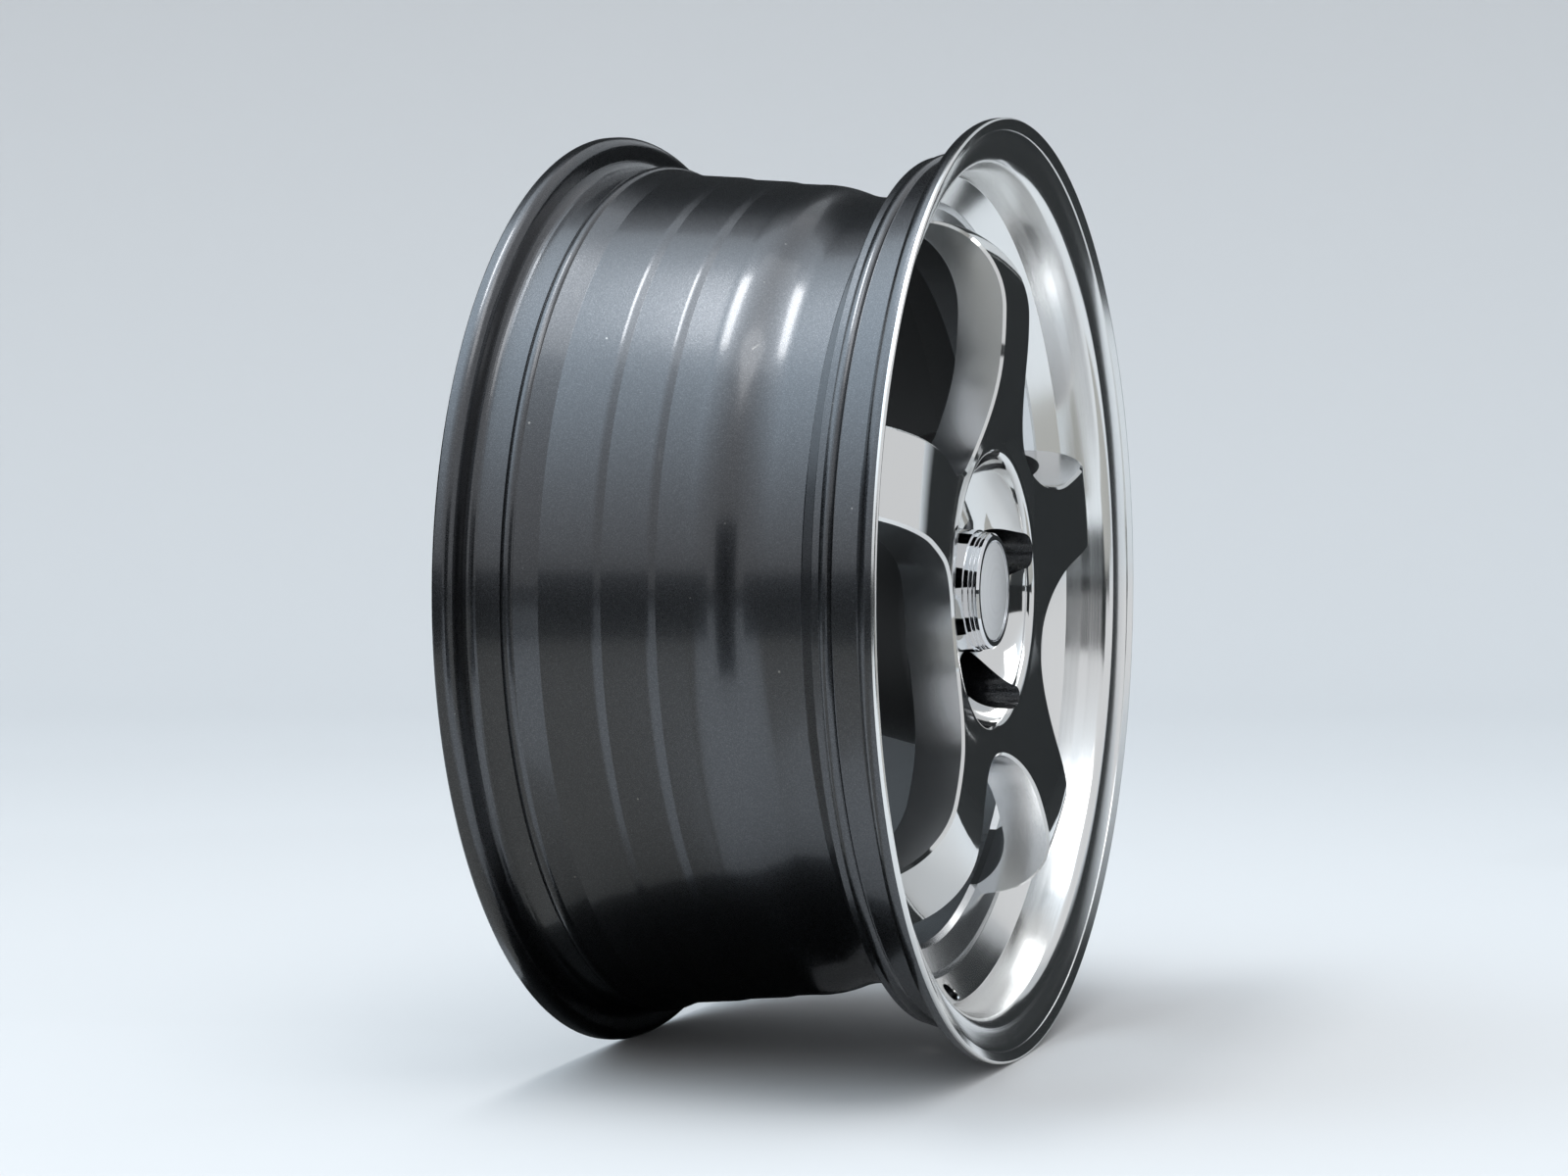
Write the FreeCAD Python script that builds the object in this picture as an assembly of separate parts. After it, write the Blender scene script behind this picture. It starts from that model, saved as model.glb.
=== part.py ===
"""Five-spoke cast alloy wheel with a deep turned lip and a tall centre cap.

Millimetres. The wheel's axis is Y, its face looks towards -Y, +Z is up, and the origin is the
centre of the rim. Sections are drawn as (radius, depth), where depth is measured backwards from
the plane of the front flange.
"""
import math
import os
from FreeCAD import Vector
import Part

# Rim: width between flanges, bead seat and flange
RIM_WIDTH = 203.2
BEAD_SEAT_DIAMETER = 462.0
FLANGE_HEIGHT = 17.5
FLANGE_WIDTH = 10.4
FLANGE_CURVE = 6.4
FLANGE_EDGE_ROUND = 1.4
BEAD_FILLET = 6.0
BEAD_SEAT_ANGLE = 5.0
HUMP_DISTANCE = 20.4
HUMP_WIDTH = 6.5
HUMP_HEIGHT = 1.6

# Barrel: drop centre, taper and the two turned steps
RIM_WALL = 6.3
WELL_DEPTH = 21.0
WELL_LAND = 3.6
WELL_WALL_RUN = 12.0
WELL_FLOOR_WIDTH = 24.5
WELL_RISE = 8.2
WELL_RISE_RUN = 24.5
BARREL_TAPER = 6.5
BARREL_STEP_HEIGHT = 0.8
BARREL_STEP_RUN = 3.0
BARREL_STEP_DISTANCES = (102.0, 75.0)
BARREL_END_DISTANCE = 46.0
REAR_MOUTH_ROUND = 9.0

# Lip: what shows of the rim from the front
LIP_STEP_RADIAL = 6.2
LIP_STEP_DEPTH = 2.6
LIP_FACE_SLOPE = 1.9
LIP_ROLL_RADIUS = 8.0
LIP_ROLL_HEIGHT = 1.7
LIP_ROLL_DEPTH = 15.6
LIP_ROLL_END_TILT = 15.0
LIP_BAND_SAG = 0.5
DISH_CREASE_WALL = 11.1
DISH_CREASE_DEPTH = 34.5

# Ring between the lip and the spokes
RING_DEPTH = 45.6
RING_LEDGE = 3.9
RING_LEDGE_WALL = 2.6
RING_FACE_WIDTH = 11.9
RING_FACE_DROP = 6.9
RING_CORNER_RADIAL = 1.7
RING_CORNER_DROP = 3.6
RING_THICKNESS = 34.5
RING_BACK_FILLET = 4.0

# Spokes
SPOKE_COUNT = 5
SPOKE_PHASE = 17.05
SPOKE_WIDTH = 47.8
SPOKE_THICKNESS = 26.0
SPOKE_EDGE_BEVEL = 1.5
CREST_DEPTH = 4.0
ROLL_RADIUS = 48.0
ROLL_FOOT_INSET = 6.0
WINDOW_APEX_LAND = 10.5

# Hub: cup, mounting face and bores
OFFSET = 35.0
CUP_RIM_RADIUS = 77.0
CUP_RIM_DROP = 10.9
CUP_RIM_ROUND = 4.6
CUP_CORNER_RADIUS = 28.8
CUP_DEPTH = 27.7
PAD_RADIUS = 78.0
BOSS_FLARE = 8.0
BOSS_FILLET = 6.0
HUB_BORE_DIAMETER = 72.6
HUB_BORE_LENGTH = 14.0
HUB_BORE_CHAMFER = 1.5

# Lug holes
LUG_COUNT = 5
LUG_CIRCLE_DIAMETER = 120.0
LUG_HOLE_DIAMETER = 15.0
LUG_POCKET_DIAMETER = 31.2
LUG_SEAT_DIAMETER = 22.0
LUG_SEAT_ANGLE = 60.0
LUG_SEAT_METAL = 14.0

# Valve hole
VALVE_HOLE_DIAMETER = 11.3
VALVE_RIM_DIAMETER = 13.6
VALVE_RIM_DEPTH = 0.4
VALVE_SEAT_DIAMETER = 18.0
VALVE_WALL = 5.4
VALVE_DISTANCE = 9.8
VALVE_WINDOW = 3

# Centre cap
CAP_HOLE_DIAMETER = 58.0
CAP_HOLE_CHAMFER = 0.8
CAP_GROOVE_DISTANCE = 6.0
CAP_GROOVE_WIDTH = 3.6
CAP_GROOVE_DEPTH = 1.3
CAP_DIAMETER = 65.4
CAP_BASE_HEIGHT = 18.2
CAP_BAND_HEIGHT = 2.8
CAP_BAND_STEP = 1.2
CAP_RING_COUNT = 2
CAP_RING_HEIGHT = 1.3
CAP_RING_STEP = 0.3
CAP_GROOVE_TURNED = 0.8
CAP_GROOVE_HEIGHT = 0.9
CAP_FRONT_CHAMFER = 1.3
CAP_PLATE = 2.4
CAP_DISC_DIAMETER = 52.4
CAP_DISC_GAP = 0.8
CAP_DISC_RECESS = 2.2
CAP_DISC_EDGE = 1.7
CAP_DISC_DOME = 1.9
CAP_LEG_COUNT = 10
CAP_LEG_THICKNESS = 2.2
CAP_LEG_DEGREES = 22.0
CAP_LEG_CLEARANCE = 0.3
CAP_BARB_REACH = 0.9
CAP_BARB_CLEARANCE = 0.4
SPRING_WIRE_DIAMETER = 2.0
SPRING_INSET = 0.5
SPRING_SEAT_CLEARANCE = 0.15
SPRING_GAP_DEGREES = 14.0

# Room past a face for a cutting tool, and how an edge is told by its place
TOOL_RUN = 5.0
BEVEL_MARGIN = 0.2
BEVEL_SAMPLES = 5
CLOSED_GAP = 0.000001

AXIS = Vector(0, 1, 0)
CENTRE = Vector(0, 0, 0)
FULL_TURN = 360.0

# Sizes that follow from those above
half_width = RIM_WIDTH / 2 + FLANGE_WIDTH
overall_width = 2 * half_width
seat_radius = BEAD_SEAT_DIAMETER / 2
flange_radius = seat_radius + FLANGE_HEIGHT
hump_depth = FLANGE_WIDTH + HUMP_DISTANCE
seat_end_depth = hump_depth - HUMP_WIDTH / 2
seat_drop = (seat_end_depth - FLANGE_WIDTH - BEAD_FILLET) * math.tan(math.radians(BEAD_SEAT_ANGLE))
seat_end_radius = seat_radius - seat_drop
well_radius = seat_radius - WELL_DEPTH
barrel_start_radius = well_radius + WELL_RISE
ring_outer_radius = well_radius - RING_LEDGE_WALL
ring_face_radius = ring_outer_radius - RING_LEDGE
ring_face_end_radius = ring_face_radius - RING_FACE_WIDTH
ring_face_end_depth = RING_DEPTH + RING_FACE_DROP
window_end_radius = ring_face_end_radius - RING_CORNER_RADIAL
ring_corner_depth = ring_face_end_depth + RING_CORNER_DROP
ring_back_depth = RING_DEPTH + RING_THICKNESS
roll_foot_radius = ring_face_radius - ROLL_FOOT_INSET
roll_foot_depth = RING_DEPTH + RING_FACE_DROP * ROLL_FOOT_INSET / RING_FACE_WIDTH
roll_centre_depth = CREST_DEPTH + ROLL_RADIUS
roll_foot_drop = roll_centre_depth - roll_foot_depth
crest_radius = roll_foot_radius - math.sqrt(ROLL_RADIUS ** 2 - roll_foot_drop ** 2)
roll_end_radius = crest_radius + ROLL_RADIUS
cup_rim_depth = CREST_DEPTH + CUP_RIM_DROP
face_reach = crest_radius - CUP_RIM_RADIUS
face_curve = (face_reach ** 2 + CUP_RIM_DROP ** 2) / (2 * CUP_RIM_DROP)
cup_floor_depth = cup_rim_depth + CUP_DEPTH
cup_round_depth = cup_rim_depth + CUP_RIM_ROUND
cup_wall_radius = CUP_RIM_RADIUS - CUP_RIM_ROUND
cup_corner_rise = cup_floor_depth - CUP_CORNER_RADIUS - cup_round_depth
cup_corner_radius = cup_wall_radius - math.sqrt(CUP_CORNER_RADIUS ** 2 - cup_corner_rise ** 2)
pad_depth = half_width - OFFSET
window_apex_radius = CUP_RIM_RADIUS + WINDOW_APEX_LAND
spoke_step = FULL_TURN / SPOKE_COUNT
window_phase = SPOKE_PHASE + spoke_step / 2
half_spoke = SPOKE_WIDTH / 2
well_end_depth = seat_end_depth + HUMP_WIDTH + WELL_LAND + WELL_WALL_RUN + WELL_FLOOR_WIDTH
well_curve = ((WELL_RISE / 2) ** 2 + (WELL_RISE_RUN / 2) ** 2) / WELL_RISE
barrel_start_depth = well_end_depth + WELL_RISE_RUN
barrel_end_depth = overall_width - BARREL_END_DISTANCE
crease_radius = seat_radius - DISH_CREASE_WALL
groove_start_depth = cup_floor_depth + CAP_GROOVE_DISTANCE
groove_end_depth = groove_start_depth + CAP_GROOVE_WIDTH
cap_hole_radius = CAP_HOLE_DIAMETER / 2
leg_outer_radius = cap_hole_radius - CAP_LEG_CLEARANCE
leg_inner_radius = leg_outer_radius - CAP_LEG_THICKNESS
cap_ring_stack = CAP_RING_COUNT * (CAP_GROOVE_HEIGHT + CAP_RING_HEIGHT)
cap_front_depth = cup_floor_depth - CAP_BASE_HEIGHT - CAP_BAND_HEIGHT - cap_ring_stack - CAP_FRONT_CHAMFER
cap_recess_depth = cap_front_depth + CAP_DISC_RECESS
spring_radius = leg_inner_radius - SPRING_INSET
spring_centre = Vector(0, (groove_start_depth + groove_end_depth) / 2 - half_width, 0)
cap_radius = CAP_DIAMETER / 2
hub_bore_radius = HUB_BORE_DIAMETER / 2


def from_front(distance):
    """Depth of a point a distance behind the front flange plane."""
    return distance


def from_rear(distance):
    """Depth of a point a distance in front of the rear flange plane."""
    return overall_width - distance


def barrel_radius(depth, steps_passed):
    """Radius of the tapered barrel at a depth, past some of its turned steps."""
    share = (depth - barrel_start_depth) / (barrel_end_depth - barrel_start_depth)
    return barrel_start_radius + BARREL_TAPER * share + BARREL_STEP_HEIGHT * steps_passed


def face_depth(radius):
    """Depth of the spokes' front between the cup's rim and the crest."""
    return CREST_DEPTH + face_curve - math.sqrt(face_curve ** 2 - (crest_radius - radius) ** 2)


def roll_depth(radius):
    """Depth of the spokes' front where it rolls over towards the ring."""
    return roll_centre_depth - math.sqrt(ROLL_RADIUS ** 2 - (radius - crest_radius) ** 2)


barrel_end_radius = barrel_radius(barrel_end_depth, len(BARREL_STEP_DISTANCES))


class Section:
    """A closed outline of lines and arcs in (radius, depth), turned about the wheel's axis."""

    def __init__(self, radius, depth):
        self.first = self.place(radius, depth)
        self.last = self.first
        self.edges = []

    def place(self, radius, depth):
        return Vector(radius, depth - half_width, 0)

    def line(self, radius, depth):
        end = self.place(radius, depth)
        self.edges.append(Part.makeLine(self.last, end))
        self.last = end
        return self

    def arc(self, through, end):
        middle = self.place(*through)
        finish = self.place(*end)
        self.edges.append(Part.Arc(self.last, middle, finish).toShape())
        self.last = finish
        return self

    def corner(self, centre, end):
        """An arc about a centre, taken the short way round to its end."""
        hub = self.place(*centre)
        finish = self.place(*end)
        size = (finish - hub).Length
        halfway = (self.last - hub).normalize() + (finish - hub).normalize()
        middle = hub + halfway.normalize() * size
        self.edges.append(Part.Arc(self.last, middle, finish).toShape())
        self.last = finish
        return self

    def turn(self, degrees=FULL_TURN):
        if (self.last - self.first).Length > CLOSED_GAP:
            self.edges.append(Part.makeLine(self.last, self.first))
        return Part.Face(Part.Wire(self.edges)).revolve(CENTRE, AXIS, degrees)


def around(shape, degrees):
    """A copy turned about the wheel's axis, counted from +X towards +Z."""
    copy = shape.copy()
    copy.rotate(CENTRE, AXIS, -degrees)
    return copy


def bead_from_flange(section, depth_of):
    """Flange back, bead seat and hump, drawn from the flange edge inwards."""
    section.line(flange_radius, depth_of(FLANGE_WIDTH - FLANGE_CURVE))
    curve_radius = flange_radius - FLANGE_CURVE
    curve_centre = (curve_radius, depth_of(FLANGE_WIDTH - FLANGE_CURVE))
    section.corner(curve_centre, (curve_radius, depth_of(FLANGE_WIDTH)))
    section.line(seat_radius + BEAD_FILLET, depth_of(FLANGE_WIDTH))
    fillet_depth = FLANGE_WIDTH + BEAD_FILLET
    fillet_centre = (seat_radius + BEAD_FILLET, depth_of(fillet_depth))
    section.corner(fillet_centre, (seat_radius, depth_of(fillet_depth)))
    section.line(seat_end_radius, depth_of(seat_end_depth))
    hump_top = (seat_end_radius + HUMP_HEIGHT, depth_of(hump_depth))
    section.arc(hump_top, (seat_end_radius, depth_of(seat_end_depth + HUMP_WIDTH)))


def bead_to_flange(section, depth_of):
    """Hump, bead seat and flange back, drawn outwards to the flange edge."""
    hump_top = (seat_end_radius + HUMP_HEIGHT, depth_of(hump_depth))
    section.arc(hump_top, (seat_end_radius, depth_of(seat_end_depth)))
    fillet_depth = FLANGE_WIDTH + BEAD_FILLET
    section.line(seat_radius, depth_of(fillet_depth))
    fillet_centre = (seat_radius + BEAD_FILLET, depth_of(fillet_depth))
    section.corner(fillet_centre, (seat_radius + BEAD_FILLET, depth_of(FLANGE_WIDTH)))
    curve_radius = flange_radius - FLANGE_CURVE
    section.line(curve_radius, depth_of(FLANGE_WIDTH))
    curve_end = depth_of(FLANGE_WIDTH - FLANGE_CURVE)
    section.corner((curve_radius, curve_end), (flange_radius, curve_end))


def barrel_line(section):
    """Tyre side of the rim between the two humps: drop centre, taper and turned steps."""
    shoulder_depth = seat_end_depth + HUMP_WIDTH + WELL_LAND
    section.line(seat_end_radius, shoulder_depth)
    section.line(well_radius, shoulder_depth + WELL_WALL_RUN)
    section.line(well_radius, well_end_depth)
    halfway = (well_radius + WELL_RISE / 2, well_end_depth + WELL_RISE_RUN / 2)
    section.corner((well_radius + well_curve, well_end_depth), halfway)
    barrel_start = (barrel_start_radius, barrel_start_depth)
    section.corner((barrel_start_radius - well_curve, barrel_start_depth), barrel_start)
    for passed, distance in enumerate(BARREL_STEP_DISTANCES):
        before = from_rear(distance) - BARREL_STEP_RUN / 2
        after = from_rear(distance) + BARREL_STEP_RUN / 2
        section.line(barrel_radius(before, passed), before)
        section.line(barrel_radius(after, passed + 1), after)
    section.line(barrel_end_radius, barrel_end_depth)
    section.line(seat_end_radius, from_rear(seat_end_depth + HUMP_WIDTH))


def inner_barrel_line(section):
    """Rear face of the rim and the inside of the barrel, from the rear flange to the ring."""
    section.line(flange_radius, from_rear(FLANGE_EDGE_ROUND))
    section.corner((flange_radius - FLANGE_EDGE_ROUND, from_rear(FLANGE_EDGE_ROUND)),
                   (flange_radius - FLANGE_EDGE_ROUND, overall_width))
    mouth_radius = seat_radius - RIM_WALL
    section.line(mouth_radius + REAR_MOUTH_ROUND, overall_width)
    section.corner((mouth_radius + REAR_MOUTH_ROUND, from_rear(REAR_MOUTH_ROUND)),
                   (mouth_radius, from_rear(REAR_MOUTH_ROUND)))
    section.line(seat_end_radius - RIM_WALL, from_rear(seat_end_depth + HUMP_WIDTH))
    section.line(barrel_end_radius - RIM_WALL, barrel_end_depth)
    section.line(barrel_start_radius - RIM_WALL, barrel_start_depth)
    inner_well_radius = well_radius - RIM_WALL
    fillet_depth = ring_back_depth + RING_BACK_FILLET
    section.line(inner_well_radius, fillet_depth)
    section.corner((inner_well_radius - RING_BACK_FILLET, fillet_depth),
                   (inner_well_radius - RING_BACK_FILLET, ring_back_depth))
    section.line(window_end_radius, ring_back_depth)


def disc_back_line(section):
    """Root in the ring, back of the spokes and hub boss, down to the mounting face and the bores."""
    root_depth = ring_back_depth - RING_BACK_FILLET
    section.line(roll_end_radius, root_depth)
    section.line(window_end_radius, root_depth)
    section.line(window_end_radius, roll_depth(window_end_radius) + SPOKE_THICKNESS)
    section.corner((crest_radius, roll_centre_depth + SPOKE_THICKNESS),
                   (crest_radius, CREST_DEPTH + SPOKE_THICKNESS))
    boss_radius = PAD_RADIUS + BOSS_FLARE
    fillet_radius = boss_radius + BOSS_FILLET
    fillet_depth = face_depth(fillet_radius) + SPOKE_THICKNESS
    back_centre_depth = CREST_DEPTH + face_curve + SPOKE_THICKNESS
    section.corner((crest_radius, back_centre_depth), (fillet_radius, fillet_depth))
    section.corner((fillet_radius, fillet_depth + BOSS_FILLET), (boss_radius, fillet_depth + BOSS_FILLET))
    section.line(PAD_RADIUS, pad_depth)
    section.line(hub_bore_radius + HUB_BORE_CHAMFER, pad_depth)
    section.line(hub_bore_radius, pad_depth - HUB_BORE_CHAMFER)
    bore_end_depth = pad_depth - HUB_BORE_LENGTH
    section.line(hub_bore_radius, bore_end_depth)
    section.line(cap_hole_radius, bore_end_depth - (hub_bore_radius - cap_hole_radius))
    section.line(cap_hole_radius, groove_end_depth)
    section.line(cap_hole_radius + CAP_GROOVE_DEPTH, groove_end_depth)
    section.line(cap_hole_radius + CAP_GROOVE_DEPTH, groove_start_depth)
    section.line(cap_hole_radius, groove_start_depth)
    section.line(cap_hole_radius, cup_floor_depth + CAP_HOLE_CHAMFER)
    section.line(cap_hole_radius + CAP_HOLE_CHAMFER, cup_floor_depth)


def disc_front_line(section):
    """Cup round the cap, the spokes' polished front and its roll down to the ring."""
    section.line(cup_corner_radius, cup_floor_depth)
    corner_centre = (cup_corner_radius, cup_floor_depth - CUP_CORNER_RADIUS)
    section.corner(corner_centre, (cup_wall_radius, cup_round_depth))
    section.corner((CUP_RIM_RADIUS, cup_round_depth), (CUP_RIM_RADIUS, cup_rim_depth))
    section.corner((crest_radius, CREST_DEPTH + face_curve), (crest_radius, CREST_DEPTH))
    section.corner((crest_radius, roll_centre_depth), (roll_end_radius, roll_centre_depth))


def lip_line(section):
    """Ring, dish, polished lip and the front face of the flange."""
    section.line(window_end_radius, ring_corner_depth)
    section.line(ring_face_end_radius, ring_face_end_depth)
    section.line(ring_face_radius, RING_DEPTH)
    section.line(ring_outer_radius, RING_DEPTH)
    section.line(crease_radius, DISH_CREASE_DEPTH)
    roll_centre = (seat_radius + LIP_ROLL_HEIGHT, LIP_ROLL_DEPTH)
    reach_out = roll_centre[0] - crease_radius
    reach_forward = DISH_CREASE_DEPTH - roll_centre[1]
    reach = math.hypot(reach_out, reach_forward)
    wall_length = math.sqrt(reach ** 2 - LIP_ROLL_RADIUS ** 2)
    wall_turn = math.atan2(reach_forward, reach_out) + math.asin(LIP_ROLL_RADIUS / reach)
    section.line(crease_radius + wall_length * math.cos(wall_turn),
                 DISH_CREASE_DEPTH - wall_length * math.sin(wall_turn))
    tilt = math.radians(LIP_ROLL_END_TILT)
    roll_end = (roll_centre[0] - LIP_ROLL_RADIUS * math.sin(tilt), roll_centre[1] - LIP_ROLL_RADIUS * math.cos(tilt))
    section.corner(roll_centre, roll_end)
    step_radius = flange_radius - LIP_STEP_RADIAL
    band_depth = (roll_end[1] + LIP_STEP_DEPTH) / 2 + LIP_BAND_SAG
    section.arc(((roll_end[0] + step_radius) / 2, band_depth), (step_radius, LIP_STEP_DEPTH))
    section.line(step_radius, LIP_FACE_SLOPE)
    section.line(flange_radius - FLANGE_EDGE_ROUND, 0)
    round_centre = (flange_radius - FLANGE_EDGE_ROUND, FLANGE_EDGE_ROUND)
    section.corner(round_centre, (flange_radius, FLANGE_EDGE_ROUND))


def rim():
    """The turned rim with the ring that carries the spokes."""
    section = Section(flange_radius, FLANGE_EDGE_ROUND)
    bead_from_flange(section, from_front)
    barrel_line(section)
    bead_to_flange(section, from_rear)
    inner_barrel_line(section)
    lip_line(section)
    return section.turn()


def window_tool():
    """Tool for one window, on the +X axis: a wedge with a round end towards the hub."""
    half_step = math.radians(spoke_step / 2)
    arc_centre = (window_apex_radius - half_spoke) / (1 - math.sin(half_step))
    arc_radius = arc_centre - window_apex_radius
    front = -half_width - TOOL_RUN
    touch_x = arc_centre - arc_radius * math.sin(half_step)
    touch_z = arc_radius * math.cos(half_step)
    end_x = ring_outer_radius + TOOL_RUN
    end_z = touch_z + (end_x - touch_x) * math.tan(half_step)
    upper_touch = Vector(touch_x, front, touch_z)
    lower_touch = Vector(touch_x, front, -touch_z)
    upper_end = Vector(end_x, front, end_z)
    lower_end = Vector(end_x, front, -end_z)
    apex = Vector(window_apex_radius, front, 0)
    outline = Part.Wire([
        Part.Arc(lower_touch, apex, upper_touch).toShape(),
        Part.makeLine(upper_touch, upper_end),
        Part.makeLine(upper_end, lower_end),
        Part.makeLine(lower_end, lower_touch),
    ])
    return Part.Face(outline).extrude(AXIS * (ring_back_depth + 2 * TOOL_RUN))


def is_on_front(radius, depth):
    """True for a point on the spokes' polished front, told by its distance from the front's two centres."""
    curve = face_curve
    if radius > crest_radius:
        curve = ROLL_RADIUS
    distance = math.hypot(radius - crest_radius, depth - CREST_DEPTH - curve)
    return abs(distance - curve) < BEVEL_MARGIN


def is_window_edge(edge):
    """True for an edge between a window's wall and the spokes' polished front."""
    for point in edge.discretize(BEVEL_SAMPLES):
        radius = math.hypot(point.x, point.z)
        if radius < CUP_RIM_RADIUS + BEVEL_MARGIN:
            return False
        if not is_on_front(radius, point.y + half_width):
            return False
        angle = math.degrees(math.atan2(point.z, point.x)) - SPOKE_PHASE
        off_axis = (angle + spoke_step / 2) % spoke_step - spoke_step / 2
        if abs(radius * math.sin(math.radians(off_axis))) < half_spoke - BEVEL_MARGIN:
            return False
    return True


def spokes_and_hub():
    """Hub and spokes, cut from one turned disc, with bevelled window edges."""
    section = Section(roll_end_radius, roll_centre_depth)
    disc_back_line(section)
    disc_front_line(section)
    disc = around(section.turn(), SPOKE_PHASE)
    window = window_tool()
    windows = [around(window, window_phase + spoke_step * k) for k in range(SPOKE_COUNT)]
    star = disc.cut(windows).Solids[0]
    return star.makeChamfer(SPOKE_EDGE_BEVEL, [edge for edge in star.Edges if is_window_edge(edge)])


def lug_tool():
    """Tool for one lug hole, on the +X axis: deep pocket, cone seat and bolt hole."""
    lug_radius = LUG_CIRCLE_DIAMETER / 2
    seat_depth = pad_depth - LUG_SEAT_METAL
    hole_radius = LUG_HOLE_DIAMETER / 2
    seat_radius_wide = LUG_SEAT_DIAMETER / 2
    cone_height = (seat_radius_wide - hole_radius) / math.tan(math.radians(LUG_SEAT_ANGLE / 2))
    front = Vector(lug_radius, -half_width - TOOL_RUN, 0)
    seat = Vector(lug_radius, seat_depth - half_width, 0)
    pocket = Part.makeCylinder(LUG_POCKET_DIAMETER / 2, seat_depth + TOOL_RUN, front, AXIS)
    cone = Part.makeCone(seat_radius_wide, hole_radius, cone_height, seat, AXIS)
    hole = Part.makeCylinder(hole_radius, LUG_SEAT_METAL + TOOL_RUN, seat, AXIS)
    return pocket.fuse([cone, hole])


def valve_tool():
    """Tool for the valve hole, on the +X axis: square to the dish, with a flat seat on the tyre side."""
    foot = Vector(ring_outer_radius, RING_DEPTH - half_width, 0)
    slope = Vector(crease_radius, DISH_CREASE_DEPTH - half_width, 0) - foot
    slope.normalize()
    through = Vector(-slope.y, slope.x, 0)
    place = foot + slope * VALVE_DISTANCE
    seat = place + through * VALVE_WALL
    start = place - through * TOOL_RUN
    hole = Part.makeCylinder(VALVE_HOLE_DIAMETER / 2, VALVE_WALL + 2 * TOOL_RUN, start, through)
    mouth = Part.makeCylinder(VALVE_RIM_DIAMETER / 2, TOOL_RUN + VALVE_RIM_DEPTH, start, through)
    flat = Part.makeCylinder(VALVE_SEAT_DIAMETER / 2, VALVE_SEAT_DIAMETER, seat, through)
    return hole.fuse([mouth, flat])


def wheel_casting():
    """Rim, spokes and hub in one piece."""
    blank = around(rim(), SPOKE_PHASE).fuse(spokes_and_hub()).removeSplitter()
    lug = lug_tool()
    lugs = [around(lug, SPOKE_PHASE + FULL_TURN / LUG_COUNT * k) for k in range(LUG_COUNT)]
    valve = around(valve_tool(), window_phase + spoke_step * VALVE_WINDOW)
    return blank.cut(lugs + [valve]).Solids[0]


def cap_body():
    """Turned cap with its stepped bands, a recess for the disc and clip legs at the back."""
    section = Section(leg_inner_radius, cup_floor_depth)
    section.line(cap_radius, cup_floor_depth)
    depth = cup_floor_depth - CAP_BASE_HEIGHT
    section.line(cap_radius, depth)
    radius = cap_radius - CAP_BAND_STEP
    section.line(radius, depth)
    depth -= CAP_BAND_HEIGHT
    section.line(radius, depth)
    for _ in range(CAP_RING_COUNT):
        section.line(radius - CAP_GROOVE_TURNED, depth)
        depth -= CAP_GROOVE_HEIGHT
        section.line(radius - CAP_GROOVE_TURNED, depth)
        radius -= CAP_RING_STEP
        section.line(radius, depth)
        depth -= CAP_RING_HEIGHT
        section.line(radius, depth)
    section.line(radius - CAP_FRONT_CHAMFER, cap_front_depth)
    recess_radius = CAP_DISC_DIAMETER / 2 + CAP_DISC_GAP
    section.line(recess_radius, cap_front_depth)
    section.line(recess_radius, cap_recess_depth)
    section.line(0, cap_recess_depth)
    section.line(0, cap_recess_depth + CAP_PLATE)
    section.line(leg_inner_radius, cap_recess_depth + CAP_PLATE)
    body = section.turn()
    legs = [around(cap_leg(), FULL_TURN / CAP_LEG_COUNT * k) for k in range(CAP_LEG_COUNT)]
    body = body.fuse(legs).removeSplitter()
    seat_wire_radius = SPRING_WIRE_DIAMETER / 2 + SPRING_SEAT_CLEARANCE
    return body.cut(Part.makeTorus(spring_radius, seat_wire_radius, spring_centre, AXIS))


def cap_leg():
    """One clip leg with its barb, on the +X axis."""
    barb_start = groove_start_depth + CAP_BARB_CLEARANCE
    barb_end = groove_end_depth - CAP_BARB_CLEARANCE
    section = Section(leg_inner_radius, cup_floor_depth)
    section.line(leg_outer_radius, cup_floor_depth)
    section.line(leg_outer_radius, barb_start)
    section.line(leg_outer_radius + CAP_BARB_REACH, barb_start)
    section.line(leg_outer_radius, barb_end)
    section.line(leg_inner_radius, barb_end)
    return around(section.turn(CAP_LEG_DEGREES), -CAP_LEG_DEGREES / 2)


def cap_disc():
    """Domed disc that lies in the cap's front recess."""
    disc_radius = CAP_DISC_DIAMETER / 2
    edge_depth = cap_recess_depth - CAP_DISC_EDGE
    sphere_radius = (disc_radius ** 2 + CAP_DISC_DOME ** 2) / (2 * CAP_DISC_DOME)
    section = Section(0, cap_recess_depth)
    section.line(disc_radius, cap_recess_depth)
    section.line(disc_radius, edge_depth)
    section.corner((0, edge_depth - CAP_DISC_DOME + sphere_radius), (0, edge_depth - CAP_DISC_DOME))
    return section.turn()


def cap_spring_ring():
    """Split wire ring that rests in the legs' seat and pushes them outwards."""
    wire_centre = spring_centre + Vector(spring_radius, 0, 0)
    wire_edge = Part.makeCircle(SPRING_WIRE_DIAMETER / 2, wire_centre, Vector(0, 0, 1))
    ring = Part.Face(Part.Wire(wire_edge)).revolve(CENTRE, AXIS, FULL_TURN - SPRING_GAP_DEGREES)
    return around(ring, -SPRING_GAP_DEGREES / 2)


PIECES = {
    "wheel_casting": wheel_casting,
    "cap_body": cap_body,
    "cap_disc": cap_disc,
    "cap_spring_ring": cap_spring_ring,
}

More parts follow.
